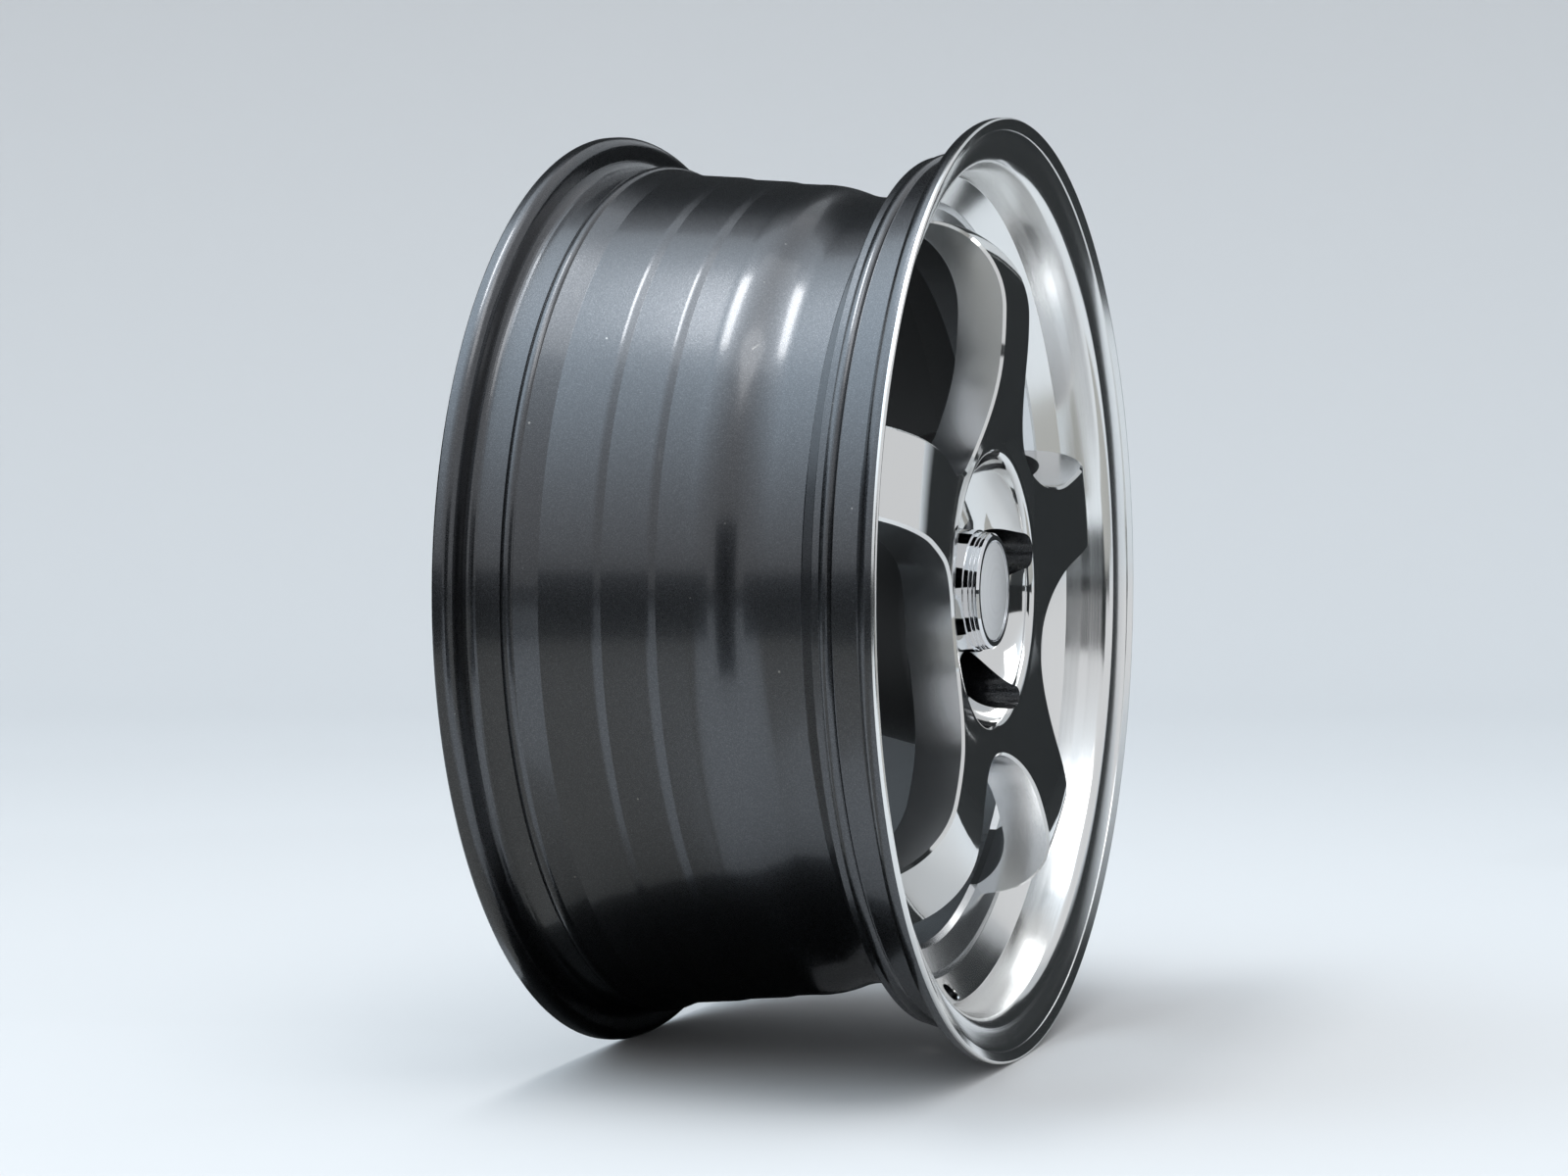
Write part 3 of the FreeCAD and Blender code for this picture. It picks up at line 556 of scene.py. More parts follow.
def hub_front(form):
    """Hub's section from the edge of the cap's hole out to the windows' bevel."""
    hub = form.hub
    round_depth = hub.cup_rim_depth + hub.cup_rim_round
    wall = hub.cup_rim_radius - hub.cup_rim_round
    rise = hub.cup_floor_depth - hub.cup_corner - round_depth
    corner = wall - math.sqrt(hub.cup_corner ** 2 - rise ** 2)
    line = Outline(hub.cap_hole, hub.cup_floor_depth + hub.cap_hole_chamfer, BARE)
    line.line(hub.cap_hole + hub.cap_hole_chamfer, hub.cup_floor_depth)
    line.paint(FACE).line((hub.cap_hole + corner) / 2, hub.cup_floor_depth)
    line.line(corner, hub.cup_floor_depth)
    line.arc((corner, hub.cup_floor_depth - hub.cup_corner), (wall, round_depth), CUP_STEPS)
    line.arc((hub.cup_rim_radius, round_depth), (hub.cup_rim_radius, hub.cup_rim_depth), CUP_RIM_STEPS)
    end = hub.apex_radius - hub.bevel
    for step in range(1, FACE_STEPS):
        radius = hub.cup_rim_radius + (end - hub.cup_rim_radius) * step / FACE_STEPS
        line.line(radius, form.front_depth(radius))
    return line


def hub_back(form):
    """Hub's section from the windows' inner end over the boss and bores to the cap's hole."""
    hub = form.hub
    line = Outline(hub.apex_radius, form.back_depth(hub.apex_radius), INSIDE)
    boss_start = form.back_depth(form.boss_radius)
    line.line(form.boss_radius, boss_start)
    line.line(hub.pad_radius, hub.pad_depth)
    line.paint(BARE).line((hub.pad_radius + hub.bore_radius) / 2, hub.pad_depth)
    line.line(hub.bore_radius + hub.bore_chamfer, hub.pad_depth)
    line.line(hub.bore_radius, hub.pad_depth - hub.bore_chamfer)
    bore_end = hub.pad_depth - hub.bore_length
    line.line(hub.bore_radius, bore_end)
    line.line(hub.cap_hole, bore_end - (hub.bore_radius - hub.cap_hole))
    groove_end = hub.groove_start + hub.groove_width
    line.line(hub.cap_hole, groove_end)
    line.line(hub.cap_hole + hub.groove_depth, groove_end)
    line.line(hub.cap_hole + hub.groove_depth, hub.groove_start)
    line.line(hub.cap_hole, hub.groove_start)
    return line


def polar(point):
    """Radius and turn of a point in the wheel's plane."""
    return point.length, math.atan2(point.y, point.x)


def window_edge(form):
    """Edge of a spoke from the windows' inner end to its root, with the spoke along X.

    Each row is a point and the direction from it into the spoke. The second result is the row at the ring.
    """
    hub = form.hub
    half_step = form.step / 2
    half_spoke = hub.width / 2
    arc_centre = (hub.apex_radius - half_spoke) / (1 - math.sin(half_step))
    arc_radius = arc_centre - hub.apex_radius
    hub_point = Vector((arc_centre * math.cos(half_step), arc_centre * math.sin(half_step)))
    rows = []
    for step in range(APEX_STEPS + 1):
        turn = (math.pi / 2 - half_step) * step / APEX_STEPS
        way = Vector((-math.cos(half_step + turn), -math.sin(half_step + turn)))
        rows.append((hub_point + way * arc_radius, way))
    inwards = Vector((0, -1))
    touch = rows[-1][0].length
    rise = hub.crest_radius - touch
    radii = [touch + rise * step / CREST_STEPS for step in range(1, CREST_STEPS + 1)]
    edge_turn = math.asin((form.window_end - hub.crest_radius) / hub.roll_radius)
    rest = math.pi / 2 - edge_turn
    turns = [edge_turn * step / ROLL_STEPS for step in range(1, ROLL_STEPS + 1)]
    turns += [edge_turn + rest * step / ROOT_STEPS for step in range(1, ROOT_STEPS + 1)]
    radii += [hub.crest_radius + hub.roll_radius * math.sin(turn) for turn in turns]
    for radius in radii:
        rows.append((Vector((math.sqrt(radius ** 2 - half_spoke ** 2), half_spoke)), inwards))
    return rows, len(rows) - 1 - ROOT_STEPS


class StarMesh:
    """Spokes and hub as one closed mesh, made sector by sector and welded."""

    def __init__(self, form):
        self.form = form
        self.mesh = bmesh.new()
        self.edge, self.root_row = window_edge(form)

    def row(self, spoke_turn, radius, half_turn, depth):
        """Points across a spoke at one radius and depth."""
        points = []
        for column in range(SPOKE_COLUMNS + 1):
            turn = spoke_turn + half_turn * (2 * column / SPOKE_COLUMNS - 1)
            points.append(self.mesh.verts.new(self.form.place(radius, turn, depth)))
        return points

    def sheet(self, rows, finishes):
        """Faces between rows of equally many points."""
        for first, second, finish in zip(rows, rows[1:], finishes):
            for column in range(len(first) - 1):
                corners = [first[column], first[column + 1], second[column + 1], second[column]]
                self.mesh.faces.new(corners).material_index = finish

    def bevel_edges(self, index):
        """Upper and lower edge of the bevel at one row, each as radius, half turn and depth."""
        form, hub = self.form, self.form.hub
        point, inwards = self.edge[index]
        last = index == len(self.edge) - 1
        bevel = 0 if last else hub.bevel
        upper = point + inwards * bevel
        off = max(point.length - hub.crest_radius, 0)
        lean = min(off / hub.roll_radius, 1)
        lower_along = point.x - bevel * lean if index > APEX_STEPS else point.x
        lower = Vector((lower_along, point.y))
        upper_depth = form.front_depth(min(upper.length, form.roll_end))
        lower_depth = form.front_depth(min(point.length, form.roll_end)) + bevel * math.sqrt(1 - lean * lean)
        return (*polar(upper), upper_depth), (*polar(lower), lower_depth)

    def sector(self, spoke_turn):
        """One spoke with its share of the hub."""
        form = self.form
        half_step = form.step / 2
        front, back = hub_front(form), hub_back(form)
        rows = [self.row(spoke_turn, p.x, half_step, p.y) for p in front.points]
        bevels = [self.bevel_edges(index) for index in range(len(self.edge))]
        narrow = [self.row(spoke_turn, *upper) for upper, _ in bevels]
        self.sheet(rows + narrow, front.finishes + [FACE] * len(narrow))
        under = []
        for point, _ in self.edge[:self.root_row + 1]:
            under.append(self.row(spoke_turn, *polar(point), form.back_depth(point.length)))
        roots = []
        for point, _ in self.edge[self.root_row:]:
            roots.append(self.row(spoke_turn, *polar(point), form.root_depth))
        end = self.edge[-1][0]
        end_rows = []
        for step in range(1, WALL_ROWS + 1):
            depth = form.roll_centre + (self.foot_depth(1) - form.roll_centre) * step / WALL_ROWS
            end_rows.append(self.row(spoke_turn, *polar(end), depth))
        behind = [narrow[-1]] + end_rows + roots[::-1] + under[::-1]
        self.sheet(behind, [SILVER] * (len(end_rows) + len(roots)) + [INSIDE] * len(under))
        # The hub's back starts at the innermost row of the spoke's back, which is there already
        hub_rows = [self.row(spoke_turn, p.x, half_step, p.y) for p in back.points[1:]]
        self.sheet([under[0]] + hub_rows + [rows[0]], back.finishes + [BARE])
        for side in (0, -1):
            self.wall(spoke_turn, side, bevels, narrow, under, roots)

    def foot_depth(self, part):
        """Depth of the wall's lower edge inside the ring, as part runs from its face to the root's end."""
        form = self.form
        return form.back_depth(form.window_end) + (form.root_depth - form.roll_centre) / 2 * part

    def wall(self, spoke_turn, side, bevels, narrow, under, roots):
        """Bevel and window wall along one side of a spoke."""
        form = self.form
        sign = 1 if side else -1
        columns = []
        for index, (_, lower) in enumerate(bevels):
            radius, half_turn, depth = lower
            top = self.mesh.verts.new(form.place(radius, spoke_turn + sign * half_turn, depth))
            if index <= self.root_row:
                low = under[index][side]
            else:
                radius, half_turn = polar(self.edge[index][0])
                part = (index - self.root_row) / (len(bevels) - 1 - self.root_row)
                place = form.place(radius, spoke_turn + sign * half_turn, self.foot_depth(part))
                low = self.mesh.verts.new(place)
            column = [top]
            for step in range(1, WALL_ROWS):
                column.append(self.mesh.verts.new(top.co.lerp(low.co, step / WALL_ROWS)))
            column.append(low)
            columns.append(column)
        uppers = [row[side] for row in narrow]
        self.sheet([[upper, column[0]] for upper, column in zip(uppers, columns)], [FACE] * len(uppers))
        self.sheet(columns, [SILVER] * len(columns))
        foot = [[column[-1], root[side]] for column, root in zip(columns[self.root_row:], roots)]
        self.sheet(foot, [SILVER] * len(foot))

    def finish(self, name):
        """The welded object of all sectors."""
        for spoke in range(self.form.hub.count):
            self.sector(self.form.hub.phase + self.form.step * spoke)
        weld(self.mesh)
        return new_object(name, self.mesh)


def weld(mesh):
    """Joins points that coincide, and drops faces that have no area."""
    bmesh.ops.remove_doubles(mesh, verts=mesh.verts, dist=WELD)
    bmesh.ops.dissolve_degenerate(mesh, edges=mesh.edges, dist=WELD)


def new_object(name, mesh):
    """A smooth object from a mesh in the making, with its faces turned outwards."""
    bmesh.ops.recalc_face_normals(mesh, faces=mesh.faces)
    for face in mesh.faces:
        face.smooth = True
    data = bpy.data.meshes.new(name)
    mesh.to_mesh(data)
    mesh.free()
    thing = bpy.data.objects.new(name, data)
    bpy.context.scene.collection.objects.link(thing)
    return thing


def lathe(outline, segments, put, sweep=math.tau, phase=0.0):
    """A mesh in the making: a closed outline turned about an axis, where put gives a point's place."""
    mesh = bmesh.new()
    whole = sweep == math.tau
    stops = segments if whole else segments + 1
    rings = []
    for step in range(stops):
        turn = phase + sweep * step / segments
        rings.append([mesh.verts.new(put(p.x, turn, p.y)) for p in outline.points])
    count = len(outline.points)
    for step in range(segments):
        first, second = rings[step], rings[(step + 1) % stops]
        for index in range(count):
            follow = (index + 1) % count
            corners = [first[index], first[follow], second[follow], second[index]]
            mesh.faces.new(corners).material_index = outline.finishes[index]
    if not whole:
        mesh.faces.new(rings[0])
        mesh.faces.new(rings[-1])
    weld(mesh)
    return mesh


def about(origin, axis):
    """A put function for a tool turned about its own axis."""
    frame_of_tool = axis.to_track_quat("Z", "Y").to_matrix()

    def put(radius, turn, along):
        return origin + frame_of_tool @ Vector((radius * math.cos(turn), radius * math.sin(turn), along))
    return put


def combine(thing, tools, operation):
    """Joins or cuts an object with others, which are used up."""
    for tool in tools:
        modifier = thing.modifiers.new("combine", "BOOLEAN")
        modifier.object = tool
        modifier.operation = operation
        modifier.solver = "MANIFOLD"
    graph = bpy.context.evaluated_depsgraph_get()
    made = bpy.data.meshes.new_from_object(thing.evaluated_get(graph))
    thing.modifiers.clear()
    old = thing.data
    thing.data = made
    bpy.data.meshes.remove(old)
    for tool in tools:
        data = tool.data
        bpy.data.objects.remove(tool)
        bpy.data.meshes.remove(data)


def set_edges(thing):
    """Marks sharp edges and weights the normals by area, so that flat stretches shade flat."""
    thing.data.set_sharp_from_angle(angle=SHARP_ANGLE)
    weighted = thing.modifiers.new("flat stretches", "WEIGHTED_NORMAL")
    weighted.mode = "FACE_AREA"
    weighted.keep_sharp = True


def lug_cutter(form, turn):
    """Tool for one lug hole: pocket, cone seat and bolt hole."""
    hub = form.hub
    room = hub.lug_pocket
    end = hub.pad_depth + room
    line = Outline(0, -room, BLACK)
    line.line(hub.lug_pocket, -room)
    line.line(hub.lug_pocket, hub.lug_seat_depth)
    line.line(hub.lug_seat, hub.lug_seat_depth)
    line.paint(BARE).line(hub.lug_hole, hub.lug_seat_depth + hub.lug_cone)
    line.line(hub.lug_hole, end)
    line.line(0, end).close()
    origin = form.place(hub.lug_circle, turn, 0)
    return new_object("lug_cutter", lathe(line, HOLE_SEGMENTS, about(origin, WHEEL_AXIS)))


def valve_cutter(form, turn):
    """Tool for the valve hole, square to the dish, with a flat seat on the tyre side."""
    rim, hub = form.rim, form.hub
    foot = Vector((rim.ring_outer, rim.ring_depth))
    slope = (Vector((rim.seat_radius - rim.crease_wall, rim.crease_depth)) - foot).normalized()
    place = foot + slope * hub.valve_distance
    room = hub.valve_seat
    line = Outline(0, -room, LIP)
    line.line(hub.valve_mouth, -room)
    line.line(hub.valve_mouth, hub.valve_mouth_depth)
    line.line(hub.valve_hole, hub.valve_mouth_depth)
    line.paint(BLACK).line(hub.valve_hole, hub.valve_wall)
    line.line(hub.valve_seat, hub.valve_wall)
    line.line(hub.valve_seat, hub.valve_wall + 2 * room)
    line.line(0, hub.valve_wall + 2 * room).close()
    origin = form.place(place.x, turn, place.y)
    radial = Vector((math.cos(turn), 0, math.sin(turn)))
    axis = radial * -slope.y + WHEEL_AXIS * slope.x
    return new_object("valve_cutter", lathe(line, HOLE_SEGMENTS, about(origin, axis)))


# Materials

class Wiring:
    """Adds nodes to a tree, wired from their inputs."""

    def __init__(self, tree):
        self.tree = tree

    def join(self, value, socket):
        """Wires a socket to another, or sets it to an even value."""
        if isinstance(value, bpy.types.NodeSocket):
            self.tree.links.new(value, socket)
        else:
            socket.default_value = value

    def node(self, kind, inputs=None, **settings):
        made = self.tree.nodes.new(kind)
        for name, value in settings.items():
            setattr(made, name, value)
        for name, value in (inputs or {}).items():
            self.join(value, made.inputs[name])
        return made

    def math(self, operation, first, second=0.0):
        return self.node("ShaderNodeMath", {0: first, 1: second}, operation=operation).outputs[0]

    def vector(self, operation, first, second):
        return self.node("ShaderNodeVectorMath", {0: first, 1: second}, operation=operation).outputs

    def mix(self, factor, first, second):
        """A colour between two, each a socket or three even values."""
        node = self.node("ShaderNodeMix", data_type="RGBA")
        sockets = {socket.identifier: socket for socket in node.inputs}
        self.join(factor, sockets["Factor_Float"])
        for name, value in (("A_Color", first), ("B_Color", second)):
            is_socket = isinstance(value, bpy.types.NodeSocket)
            self.join(value if is_socket else (*value, 1), sockets[name])
        return next(socket for socket in node.outputs if socket.identifier == "Result_Color")

    def range(self, value, low, high, to_low=0.0, to_high=1.0):
        inputs = {"Value": value, "From Min": low, "From Max": high, "To Min": to_low, "To Max": to_high}
        return self.node("ShaderNodeMapRange", inputs, clamp=True).outputs["Result"]

    def place(self):
        return self.node("ShaderNodeTexCoord").outputs["Object"]


class Group(Wiring):
    """A shader node group in the making, with named inputs and outputs."""

    def __init__(self, name, inputs, outputs):
        super().__init__(bpy.data.node_groups.new(name, "ShaderNodeTree"))
        sockets = self.tree.interface
        for label, default in inputs.items():
            kind = "NodeSocketFloat" if isinstance(default, float) else "NodeSocketVector"
            sockets.new_socket(label, in_out="INPUT", socket_type=kind).default_value = default
        for label in outputs:
            sockets.new_socket(label, in_out="OUTPUT", socket_type="NodeSocketFloat")
        self.given = self.node("NodeGroupInput").outputs

    def give(self, **values):
        """Wires the group's outputs."""
        self.node("NodeGroupOutput", values)
        return self.tree


def paint_flake(name):
    """Metal flake in paint: a sparkle mask with its own scale and share, and each flake's tilt."""
    g = Group(name, {"Size": 0.0005, "Share": 0.3}, ("Sparkle", "Tilt"))
    scale = g.math("DIVIDE", 1.0, g.given["Size"])
    cells = g.node("ShaderNodeTexVoronoi", {"Vector": g.place(), "Scale": scale})
    parts = g.node("ShaderNodeSeparateColor", {"Color": cells.outputs["Color"]}).outputs
    least = g.math("SUBTRACT", 1.0, g.given["Share"])
    return g.give(Sparkle=g.range(parts["Red"], least, 1.0), Tilt=parts["Green"])


def surface_waviness(name):
    """The slow waviness of sprayed paint or hand polishing."""
    g = Group(name, {"Size": 0.003, "Detail": 2.0}, ("Height",))
    scale = g.math("DIVIDE", 1.0, g.given["Size"])
    noise = g.node("ShaderNodeTexNoise", {"Vector": g.place(), "Scale": scale, "Detail": g.given["Detail"]})
    return g.give(Height=noise.outputs["Fac"])


def turning_lines(name):
    """Fine rings left by the lathe and broader bands of them, told by radius and depth."""
    g = Group(name, {"Pitch": 0.0004, "Band": 0.006}, ("Height", "Streak"))
    xyz = g.node("ShaderNodeSeparateXYZ", {"Vector": g.place()}).outputs
    squares = g.math("ADD", g.math("POWER", xyz["X"], 2.0), g.math("POWER", xyz["Z"], 2.0))
    run = g.math("ADD", g.math("SQRT", squares), xyz["Y"])
    rings = {}
    for label, spacing, detail in (("Height", "Pitch", 2.0), ("Streak", "Band", 3.0)):
        along = g.math("DIVIDE", run, g.given[spacing])
        inputs = {"W": along, "Scale": 1.0, "Detail": detail}
        rings[label] = g.node("ShaderNodeTexNoise", inputs, noise_dimensions="1D").outputs["Fac"]
    return g.give(**rings)


def dust_and_scuffs(name):
    """Specks of dust, and faint scuffs that lie in patches."""
    g = Group(name, {"Speck": 0.006, "Share": 0.05}, ("Specks", "Scuffs"))
    place = g.place()
    scale = g.math("DIVIDE", 1.0, g.given["Speck"])
    cells = g.node("ShaderNodeTexVoronoi", {"Vector": place, "Scale": scale}).outputs
    parts = g.node("ShaderNodeSeparateColor", {"Color": cells["Color"]}).outputs
    chosen = g.math("LESS_THAN", parts["Blue"], g.given["Share"])
    speck = g.math("LESS_THAN", cells["Distance"], g.math("MULTIPLY", parts["Green"], 0.10))
    stretch = {"Vector": place, "Rotation": (0.4, 0.9, 0.2), "Scale": (38.0, 260.0, 38.0)}
    turned = g.node("ShaderNodeMapping", stretch).outputs["Vector"]
    lines = g.node("ShaderNodeTexNoise", {"Vector": turned, "Scale": 1.0, "Detail": 4.0})
    patches = g.node("ShaderNodeTexNoise", {"Vector": place, "Scale": 17.0, "Detail": 1.0})
    line_mask = g.range(lines.outputs["Fac"], 0.66, 0.74)
    patch_mask = g.range(patches.outputs["Fac"], 0.60, 0.70)
    return g.give(Specks=g.math("MULTIPLY", chosen, speck), Scuffs=g.math("MULTIPLY", line_mask, patch_mask))


def scratch(name):
    """A short straight scratch between two places, as a soft mask."""
    g = Group(name, {"Start": (0, 0, 0), "End": (0, 0, 1), "Width": SCUFF_WIDTH}, ("Mask",))
    along = g.vector("SUBTRACT", g.given["End"], g.given["Start"])["Vector"]
    reach = g.vector("SUBTRACT", g.place(), g.given["Start"])["Vector"]
    ahead = g.vector("DOT_PRODUCT", reach, along)["Value"]
    whole = g.vector("DOT_PRODUCT", along, along)["Value"]
    part = g.range(g.math("DIVIDE", ahead, whole), 0.0, 1.0)
    nearest = g.node("ShaderNodeVectorMath", {0: along, "Scale": part}, operation="SCALE").outputs["Vector"]
    away = g.vector("DISTANCE", reach, nearest)["Value"]
    return g.give(Mask=g.range(g.math("DIVIDE", away, g.given["Width"]), 0.0, 1.0, 1.0, 0.0))


GROUPS = {
    "Paint flake": paint_flake,
    "Surface waviness": surface_waviness,
    "Turning lines": turning_lines,
    "Dust and scuffs": dust_and_scuffs,
    "Scratch": scratch,
}


class Finish(Wiring):
    """A material in the making. What is even all over is set on the shader's own sockets."""

    def __init__(self, name, **even):
        self.material = bpy.data.materials.new(name)
        self.material.use_nodes = True
        super().__init__(self.material.node_tree)
        self.shader = self.tree.nodes["Principled BSDF"]
        for label, value in even.items():
            self.shader.inputs[label.replace("_", " ")].default_value = value

    def use(self, name, **inputs):
        """Places a node group, which is built the first time that a finish uses it."""
        group = bpy.data.node_groups.get(name) or GROUPS[name](name)
        return self.node("ShaderNodeGroup", inputs, node_tree=group).outputs

    def flake(self, size, share):
        return self.use("Paint flake", Size=size, Share=share)

    def wavy(self, size, detail):
        return self.use("Surface waviness", Size=size, Detail=detail)["Height"]

    def turning(self, pitch, band):
        return self.use("Turning lines", Pitch=pitch, Band=band)

    def dust(self, speck, share):
        return self.use("Dust and scuffs", Speck=speck, Share=share)

    def scaled(self, value, amount):
        return self.math("MULTIPLY", value, amount)

    def swing(self, noise, low, high):
        """A value that follows a noise from low to high."""
        return self.range(noise, NOISE_LOW, NOISE_HIGH, low, high)

    def scuffed(self, rough, dust, amount):
        """Roughness that grows in the scuffs."""
        return self.math("ADD", rough, self.scaled(dust["Scuffs"], amount))

    def dusty(self, base, dust, amount, tint):
        """A colour with specks of dust on it."""
        return self.mix(self.scaled(dust["Specks"], amount), base, tint)

    def done(self, base, rough, height=None, strength=0.0, distance=0.0):
        """Wires colour, roughness and bump into the shader."""
        self.join(base, self.shader.inputs["Base Color"])
        self.join(rough, self.shader.inputs["Roughness"])
        if height is not None:
            bump = self.node("ShaderNodeBump", {"Height": height, "Strength": strength, "Distance": distance})
            self.join(bump.outputs["Normal"], self.shader.inputs["Normal"])
        return self.material


def black_paint(colours):
    """Barrel outside: flaked black paint with dust and one scuff."""
    paint = Finish("black_paint", Metallic=1.0, Coat_Weight=0.8, Coat_Roughness=0.13)
    flake = paint.flake(size=0.00026, share=0.30)
    dust = paint.dust(speck=0.007, share=0.07)
    base = paint.mix(flake["Sparkle"], colours.black_paint, colours.black_flake)
    marks = paint.math("MAXIMUM", paint.scaled(dust["Specks"], 0.55), paint.scaled(dust["Scuffs"], 0.10))
    for corners in SCUFF:
        for start, end in zip(corners, corners[1:]):
            line = paint.use("Scratch", Start=start, End=end, Width=SCUFF_WIDTH)
            broken = paint.math("MULTIPLY", line["Mask"], flake["Tilt"])
            marks = paint.math("MAXIMUM", marks, paint.scaled(broken, 0.6))
    rough = paint.scuffed(paint.range(flake["Tilt"], 0.0, 1.0, 0.24, 0.34), dust, 0.15)
    height = paint.math("ADD", paint.wavy(size=0.0016, detail=3.0), paint.scaled(flake["Tilt"], 0.08))
    return paint.done(paint.mix(marks, base, colours.dust), rough, height, strength=0.10, distance=0.0003)


def inside_paint(colours):
    """Barrel inside and backs of the spokes: plain black paint."""
    paint = Finish("inside_paint", Metallic=0.3)
    wavy = paint.wavy(size=0.0012, detail=3.0)
    dust = paint.dust(speck=0.008, share=0.06)
    base = paint.dusty(colours.inside_paint, dust, 0.3, colours.dust)
    return paint.done(base, paint.swing(wavy, 0.40, 0.52), wavy, strength=0.12, distance=0.0003)


def polished_face(colours):
    """Spokes and cup: metal polished over fine turning."""
    metal = Finish("polished_face", Metallic=1.0)
    turning = metal.turning(pitch=0.0007, band=0.008)
    dust = metal.dust(speck=0.009, share=0.05)
    base = metal.dusty(colours.polished, dust, 0.4, colours.dust)
    rough = metal.scuffed(metal.swing(turning["Streak"], 0.045, 0.085), dust, 0.12)
    height = metal.math("ADD", metal.wavy(size=0.011, detail=2.0), metal.scaled(turning["Height"], 0.012))
    return metal.done(base, rough, height, strength=0.06, distance=0.0006)


def turned_lip(colours):
    """Lip and dish: bright turned metal."""
    metal = Finish("turned_lip", Metallic=1.0)
    turning = metal.turning(pitch=0.00045, band=0.004)
    dust = metal.dust(speck=0.010, share=0.04)
    base = metal.mix(metal.swing(turning["Streak"], 0.0, 0.10), colours.turned, colours.bare)
    rough = metal.scuffed(metal.swing(turning["Streak"], 0.12, 0.20), dust, 0.15)
    base = metal.dusty(base, dust, 0.4, colours.dust)
    return metal.done(base, rough, turning["Height"], strength=0.10, distance=0.00005)


def silver_paint(colours):
    """Window walls and ring: flaked silver paint."""
    paint = Finish("silver_paint", Metallic=1.0, Coat_Weight=0.4, Coat_Roughness=0.10)
    flake = paint.flake(size=0.00028, share=0.5)
    dust = paint.dust(speck=0.010, share=0.04)
    base = paint.mix(flake["Sparkle"], colours.silver_paint, colours.silver_flake)
    rough = paint.range(flake["Tilt"], 0.0, 1.0, 0.18, 0.23)
    height = paint.math("ADD", paint.wavy(size=0.007, detail=1.0), paint.scaled(flake["Tilt"], 0.02))
    base = paint.dusty(base, dust, 0.5, colours.dust)
    return paint.done(base, rough, height, strength=0.06, distance=0.0003)


def bare_metal(colours):
    """Bores, seats and mounting face: plain turned metal."""
    metal = Finish("bare_metal", Metallic=1.0)
    turning = metal.turning(pitch=0.0006, band=0.005)
    base = metal.mix(metal.swing(turning["Streak"], 0.0, 0.18), colours.bare, colours.black_flake)
    rough = metal.swing(turning["Streak"], 0.22, 0.34)
    return metal.done(base, rough, turning["Height"], strength=0.18, distance=0.00006)


def bright_plating(colours):
    """Cap: bright plating."""
    plate = Finish("bright_plating", Metallic=1.0)
    wavy = plate.wavy(size=0.006, detail=1.0)
    dust = plate.dust(speck=0.006, share=0.05)
    base = plate.dusty(colours.plating, dust, 0.4, colours.dust)
    return plate.done(base, plate.swing(wavy, 0.02, 0.05), wavy, strength=0.03, distance=0.0003)


def disc_dome(colours):
    """Disc: pale turned metal under a clear dome."""
    dome = Finish("disc_dome", Metallic=0.15, Coat_Weight=1.0, Coat_Roughness=0.02)
    streak = dome.turning(pitch=0.0003, band=0.003)["Streak"]
    base = dome.mix(dome.swing(streak, 0.0, 0.15), colours.disc, colours.bare)
    return dome.done(base, dome.swing(streak, 0.28, 0.38))


def spring_wire(colours):
    """Spring ring: dull drawn wire."""
    wire = Finish("spring_wire", Metallic=1.0)
    wavy = wire.wavy(size=0.001, detail=3.0)
    base = wire.mix(wire.range(wavy, 0.35, 0.7), colours.spring, colours.black_flake)
    return wire.done(base, wire.swing(wavy, 0.25, 0.40))


# The casting's finishes, in the order of their numbers
CASTING_FINISHES = (black_paint, polished_face, turned_lip, silver_paint, bare_metal, inside_paint)


# Stage

def soft_lamp(name, place, target, size, tint, power):
    """A soft rectangular lamp that looks at a target."""
    data = bpy.data.lights.new(name, "AREA")
    data.shape = "RECTANGLE"
    data.size, data.size_y = size
    data.energy = power
    data.color = tint
    lamp = bpy.data.objects.new(name, data)
    lamp.location = place
    lamp.rotation_euler = (Vector(target) - Vector(place)).to_track_quat("-Z", "Y").to_euler()
    bpy.context.scene.collection.objects.link(lamp)


def matt(name, tint):
    """A plain matt finish for the stage."""
    return Finish(name, Base_Color=(*tint, 1), Roughness=MATT_ROUGHNESS, Specular_IOR_Level=MATT_SPECULAR)


def graded(name, first, last, axis):
    """A matt finish that runs from one colour to another along one axis of the thing's own box."""
    finish = matt(name, first)
    place = finish.node("ShaderNodeTexCoord").outputs["Generated"]
    part = finish.node("ShaderNodeSeparateXYZ", {"Vector": place}).outputs[axis]
    finish.join(finish.mix(part, first, last), finish.shader.inputs["Base Color"])
    return finish


def stage_sheet(name, rows, finish):
    """A sheet through rows of places."""
    mesh = bmesh.new()
    points = [[mesh.verts.new(place) for place in row] for row in rows]
    for first, second in zip(points, points[1:]):
        for index in range(len(first) - 1):
            mesh.faces.new([first[index], first[index + 1], second[index + 1], second[index]])
    sheet = new_object(name, mesh)
    sheet.data.materials.append(finish.material)
    return sheet


def card(name, degrees, edges, finish):
    """A sheet that reflections see and the camera doesn't.

    It bends round the wheel between two angles, counted from +X towards +Y, and between two edges, each given
    as its distance from the wheel's middle and its height.
    """
    start, end = degrees
    rows = []
    for distance, height in edges:
        row = []
        for step in range(CARD_STEPS + 1):
            turn = math.radians(start + (end - start) * step / CARD_STEPS)
            row.append((distance * math.cos(turn), distance * math.sin(turn), height))
        rows.append(row)
    sheet = stage_sheet(name, rows, finish)
    sheet.visible_camera = False
    sheet.visible_diffuse = False
    sheet.visible_shadow = False


